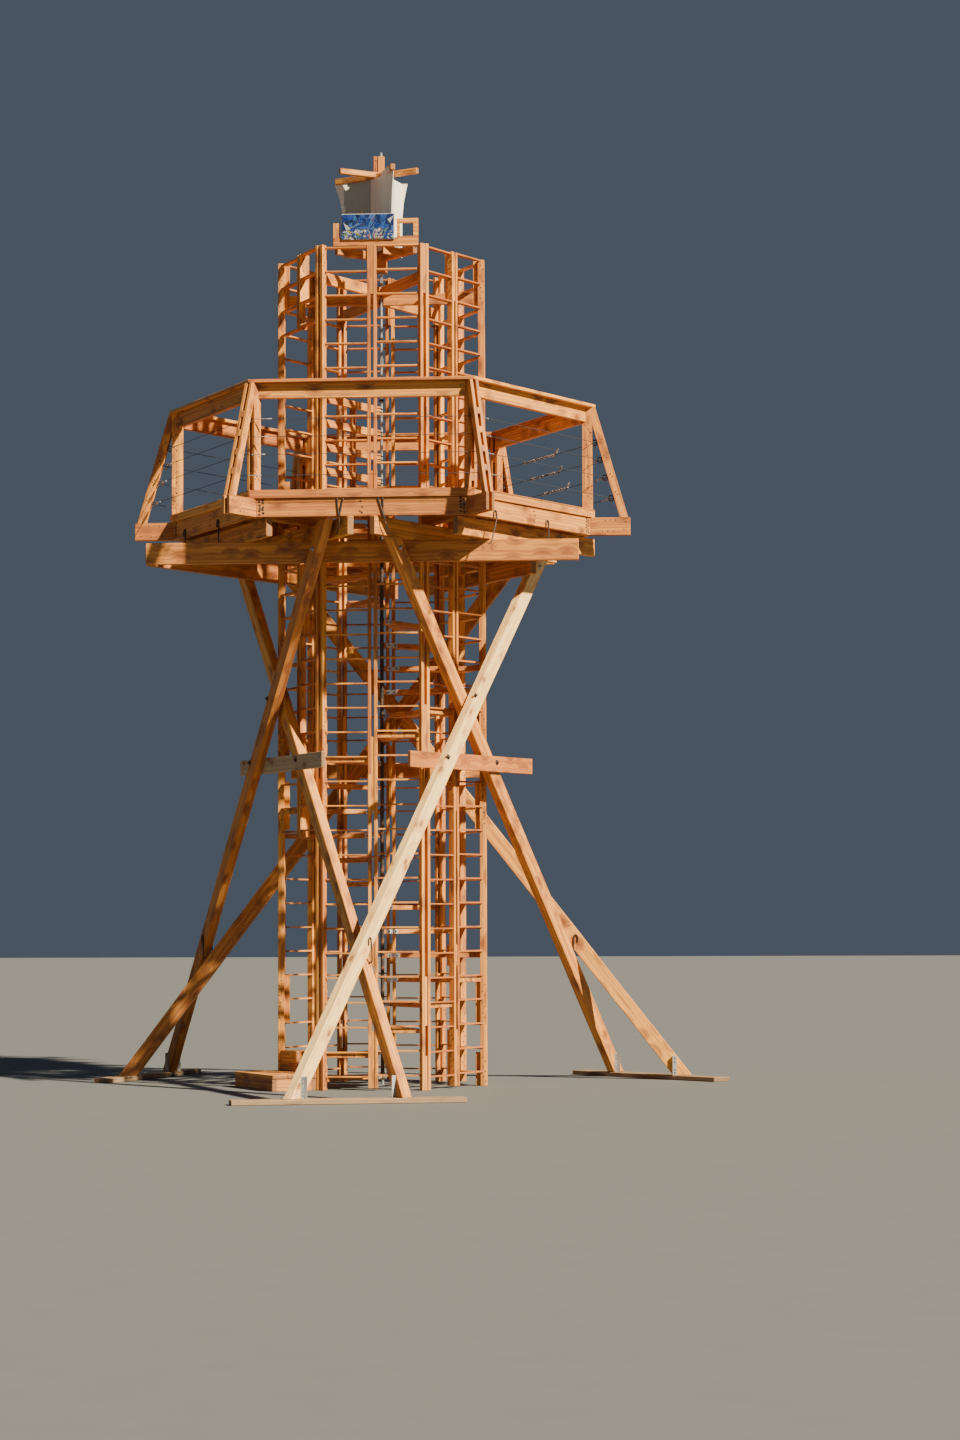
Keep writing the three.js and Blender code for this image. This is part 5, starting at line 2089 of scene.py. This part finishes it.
@dataclass
class Mosaic:
    """Broken tiles that fill a rectangle: it is split again and again by random lines."""

    stack: Stack
    left: float
    right: float
    low: float
    high: float
    count: int = 150
    joint: float = 0.0022
    bevel: float = 0.0009
    least: float = 0.00004
    blues: tuple = ((0.010, 0.045, 0.23), (0.016, 0.07, 0.31), (0.03, 0.12, 0.40), (0.008, 0.028, 0.12),
                    (0.05, 0.17, 0.40))
    mixed: tuple = ((0.016, 0.07, 0.31), (0.03, 0.12, 0.40), (0.55, 0.48, 0.36), (0.42, 0.16, 0.14),
                    (0.10, 0.26, 0.13), (0.58, 0.44, 0.10), (0.50, 0.56, 0.60), (0.010, 0.045, 0.23))
    glaze: Colour = (0.5, 0.56, 0.7)
    band: float = 0.42

    def lay(self, side: Matrix, z: Span) -> None:
        """Splits the rectangle and lays a tile in each part.

        Args:
            side: the panel's frame.
            z: the tiles' underside and face.
        """
        rng = self.stack.rng
        parts = [[(self.left, self.low), (self.right, self.low), (self.right, self.high), (self.left, self.high)]]
        while len(parts) < self.count:
            parts.sort(key=self._wish)
            part = parts.pop()
            place = [sum(p[k] for p in part) / len(part) + rng.uniform(-0.012, 0.012) for k in (0, 1)]
            angle = rng.uniform(0, math.pi)
            parts += [half for half in self._split(part, place, angle) if len(half) > 2]
        for part in parts:
            tile = offset_polygon(part, self.joint * rng.uniform(0.3, 0.8))
            crossed = any((q - p).cross(r - q) <= 0 for p, q, r in corner_triples(tile))
            if signed_area(tile) < self.least or crossed:
                continue
            before = len(self.stack.faces)
            top = z[1] - rng.uniform(0, 0.0018)
            self.stack.prism(side, tile, (z[0], top), chamfer=self.bevel)
            low = self._height(part) < self.band
            colour = rng.choice(self.mixed if low and rng.random() < 0.6 else self.blues)
            shade = rng.uniform(0.75, 1.15)
            paint = (*(c * shade * g for c, g in zip(colour, self.glaze)), 1.0)
            self.stack.paints[before:] = [paint] * (len(self.stack.faces) - before)

    def _height(self, part: Sequence[Point2]) -> float:
        """Where the middle of a part lies between the panel's bottom and top, from 0 to 1."""
        return (sum(p[1] for p in part) / len(part) - self.low) / (self.high - self.low)

    def _wish(self, part: Sequence[Point2]) -> float:
        """How much a part wants to be split: its area, more so near the bottom."""
        return signed_area(part) * (4.5 if self._height(part) < self.band else 1.0)

    @staticmethod
    def _split(part: Sequence[Point2], place: Sequence[float], angle: float) -> tuple[list[Point2], list[Point2]]:
        """Two parts of a convex outline, cut by a line.

        Args:
            part: the outline.
            place: a point of the line.
            angle: the direction square to it.

        Returns:
            The part ahead of the line and the part behind it.
        """
        nx, ny = math.cos(angle), math.sin(angle)
        away = [(x - place[0]) * nx + (y - place[1]) * ny for x, y in part]
        one: list[Point2] = []
        two: list[Point2] = []
        for i, p in enumerate(part):
            q, a, b = part[(i + 1) % len(part)], away[i], away[(i + 1) % len(part)]
            (one if a >= 0 else two).append(p)
            if a * b < 0:
                t = a / (a - b)
                cut = (p[0] + (q[0] - p[0]) * t, p[1] + (q[1] - p[1]) * t)
                one.append(cut)
                two.append(cut)
        return one, two


@dataclass
class FoldedSheets:
    """Thin sheets folded round the crown's post, spread at the top and torn at the left."""

    height: Span
    thick: float = 0.006
    corners: dict = field(default_factory=lambda: {
        "left": (-0.386, 0.184), "fold": (-0.097, -0.007), "front": (0.141, -0.370), "inner": (0.126, 0.009),
        "right": (0.184, 0.190)})
    sheets: tuple = (("left", "fold", 0.085, 0.0), ("fold", "front", 0.0, 0.040), ("front", "inner", 0.0, 0.0),
                     ("inner", "right", 0.0, 0.054), ("right", "left", 0.054, 0.085))
    flaps: tuple = (((0.085, 0.345), 0.051), ((0.3445, 0.425), 0.034))
    flap_turn: float = -70.0
    flap_face: Span = (0.0222, 0.0252)
    holes: tuple = ((0.23, 0.955, 0.14, 0.035), (0.0, 0.87, 0.06, 0.025), (0.06, 0.815, 0.05, 0.035),
                    (0.08, 0.665, 0.05, 0.055), (0.62, 0.585, 0.12, 0.018))
    wave: float = 0.0011
    rows: int = 26
    columns: int = 20

    def add(self, stack: Stack) -> None:
        """Adds the five sheets, and the flaps that fold over an arm.

        Args:
            stack: where they go.
        """
        for start, end, before, after in self.sheets:
            torn = start == "left"
            grid = self._grid(stack, Vector(self.corners[start]), Vector(self.corners[end]), (before, after), torn)
            self._skin(stack, grid, torn)
        high = self.height[1]
        for x, lap in self.flaps:
            stack.board(Board(side_frame(self.flap_turn), x, (high - 0.010, high + lap), self.flap_face,
                              chamfer=0.0008))

    def _spread(self, part: float) -> float:
        """Share of the spread that is reached at a part of the height."""
        return 0.0 if part < 0.5 else 0.3 * (part - 0.5) / 0.25 if part < 0.75 else 0.3 + 0.7 * (part - 0.75) / 0.25

    def _grid(self, stack: Stack, a: Vector, b: Vector, past: Span, torn: bool) -> dict[tuple[int, int, int], int]:
        """Adds the points of one sheet between two corners of the plan, on both of its faces.

        Args:
            stack: where they go.
            a: its first corner.
            b: its second corner.
            past: how far it spreads past each of them at the top.
            torn: whether it is the torn one, darkened with painted shade.

        Returns:
            The points' numbers by row, column and face.
        """
        along = (b - a).normalized()
        out = Vector((along.y, -along.x))
        length = (b - a).length
        phase = stack.rng.uniform(0, 6.28)
        low, high = self.height
        skin = self.thick / 2 - self.wave
        grid: dict[tuple[int, int, int], int] = {}
        for i in range(self.rows + 1):
            part = i / self.rows
            spread = self._spread(part)
            start = -self.thick / 2 - past[0] * spread
            end = length + self.thick / 2 + past[1] * spread
            for j in range(self.columns + 1):
                share = j / self.columns
                wave = self.wave * math.sin(phase + share * 9 + part * 4) * math.sin(math.pi * share)
                place = a + along * (start + (end - start) * share)
                for side, depth in ((0, skin), (1, -skin)):
                    p = place + out * (depth + wave)
                    grid[i, j, side] = len(stack.points)
                    stack.points.append(Vector((p.x, p.y, low + (high - low) * part)))
                    stack.logs.append((share, part, float(side)))
                    # tone 1 paints shade on the torn left sheet through the sheet's material
                    stack.tones.append(1.0 if torn else 0.5)
        return grid

    def _skin(self, stack: Stack, grid: dict[tuple[int, int, int], int], torn: bool) -> None:
        """Adds a sheet's two faces and the edges round it and round its holes.

        Args:
            stack: where they go.
            grid: the points' numbers.
            torn: whether it has holes.
        """
        kept = {(i, j) for i in range(self.rows) for j in range(self.columns)
                if not (torn and self._hole((j + 0.5) / self.columns, (i + 0.5) / self.rows))}
        for i, j in sorted(kept):
            quad = [(i, j), (i, j + 1), (i + 1, j + 1), (i + 1, j)]
            stack.face(tuple(grid[r, c, 0] for r, c in quad))
            stack.face(tuple(grid[r, c, 1] for r, c in reversed(quad)))
            for k, (di, dj) in enumerate(((-1, 0), (0, 1), (1, 0), (0, -1))):
                if (i + di, j + dj) not in kept:
                    p, q = quad[k], quad[(k + 1) % 4]
                    stack.face((grid[*p, 1], grid[*q, 1], grid[*q, 0], grid[*p, 0]))

    def _hole(self, share: float, part: float) -> bool:
        """Whether a place of the torn sheet is missing."""
        return any(((share - x) / w) ** 2 + ((part - y) / h) ** 2 < 1 for x, y, w, h in self.holes)


# Studio


@dataclass(frozen=True)
class Lamp:
    """Distant soft lamp: its direction from the front towards the right and over the horizon, in degrees."""

    name: str
    azimuth: float
    height: float
    width: float
    power: float
    colour: Colour

    def hang(self) -> None:
        """Adds the lamp to the scene; how wide it looks makes the shadows' softness."""
        lamp = bpy.data.lights.new(self.name, "SUN")
        lamp.energy, lamp.angle, lamp.color = self.power, math.radians(self.width), self.colour
        holder = bpy.data.objects.new(self.name, lamp)
        height = math.radians(self.height)
        towards = outward(self.azimuth) * math.cos(height) + Z_AXIS * math.sin(height)
        holder.location = towards * 20
        holder.rotation_euler = (-towards).to_track_quat("-Z", "Y").to_euler()
        bpy.context.scene.collection.objects.link(holder)


@dataclass
class Studio:
    """Pale floor, soft light and the photograph's camera."""

    lamps: tuple[Lamp, ...] = (Lamp("key", 54.0, 38.0, 1.8, 13.5, (1.0, 0.86, 0.62)),
                               Lamp("fill", -60.0, 30.0, 60.0, 0.12, (0.62, 0.78, 1.0)))
    sky: Colour = (0.60, 0.76, 1.0)
    sky_strength: float = 0.12
    floor_half: float = 90.0
    floor_level: float = -0.0005
    turn: float = 5.947
    distance: float = 31.0875
    height: float = 1.6515
    yaw: float = 1.742
    pitch: float = 3.413
    roll: float = -0.208
    lens: float = 80.7
    sensor: float = 36.0

    def build(self) -> None:
        """Builds the stage."""
        self._floor()
        self._world()
        for lamp in self.lamps:
            lamp.hang()
        self._camera()

    def _floor(self) -> None:
        """Adds the floor plane."""
        mesh = bpy.data.meshes.new("floor")
        far, z = self.floor_half, self.floor_level
        mesh.from_pydata([(-far, -far, z), (far, -far, z), (far, far, z), (-far, far, z)], [], [(0, 1, 2, 3)])
        mesh.materials.append(material_of(FLOOR))
        floor = bpy.data.objects.new("floor", mesh)
        bpy.context.scene.collection.objects.link(floor)

    def _world(self) -> None:
        """Sets the even light of the surroundings."""
        world = bpy.data.worlds.new("studio")
        world.use_nodes = True
        shader = world.node_tree.nodes["Background"]
        shader.inputs["Color"].default_value = (*self.sky, 1.0)
        shader.inputs["Strength"].default_value = self.sky_strength
        bpy.context.scene.world = world

    def _camera(self) -> None:
        """Adds the camera at the photograph's viewing angle."""
        yaw, pitch, roll = (math.radians(a) for a in (self.yaw, self.pitch, self.roll))
        right = Vector((math.cos(yaw), -math.sin(yaw), 0))
        ahead = Vector((math.sin(yaw), math.cos(yaw), 0))
        forward = ahead * math.cos(pitch) + Z_AXIS * math.sin(pitch)
        top = Z_AXIS * math.cos(pitch) - ahead * math.sin(pitch)
        x = right * math.cos(roll) + top * math.sin(roll)
        y = top * math.cos(roll) - right * math.sin(roll)
        placed = basis(x, y, -forward, Vector((0, -self.distance, self.height)))
        camera = bpy.data.cameras.new("camera")
        camera.lens, camera.sensor_width = self.lens, self.sensor
        holder = bpy.data.objects.new("camera", camera)
        holder.matrix_world = Matrix.Rotation(math.radians(self.turn), 4, "Z") @ placed
        bpy.context.scene.collection.objects.link(holder)
        bpy.context.scene.camera = holder


def main() -> None:
    """Builds every sub-assembly in order."""
    logging.basicConfig(level=logging.INFO, format="%(message)s")
    repeater = Repeater()
    fixings = Fixings(repeater)
    legs = Legs(fixings)
    posts = GalleryPosts(fixings)
    for maker in (Shaft(repeater, fixings), Stair(), Guard(), Spider(), legs, FloorFrame(legs), Decks(fixings),
                  posts, Handrails(fixings), Cable(posts, repeater), Rod(), Entry(), Crown(fixings), Studio()):
        maker.build()


if __name__ == "__main__":
    main()
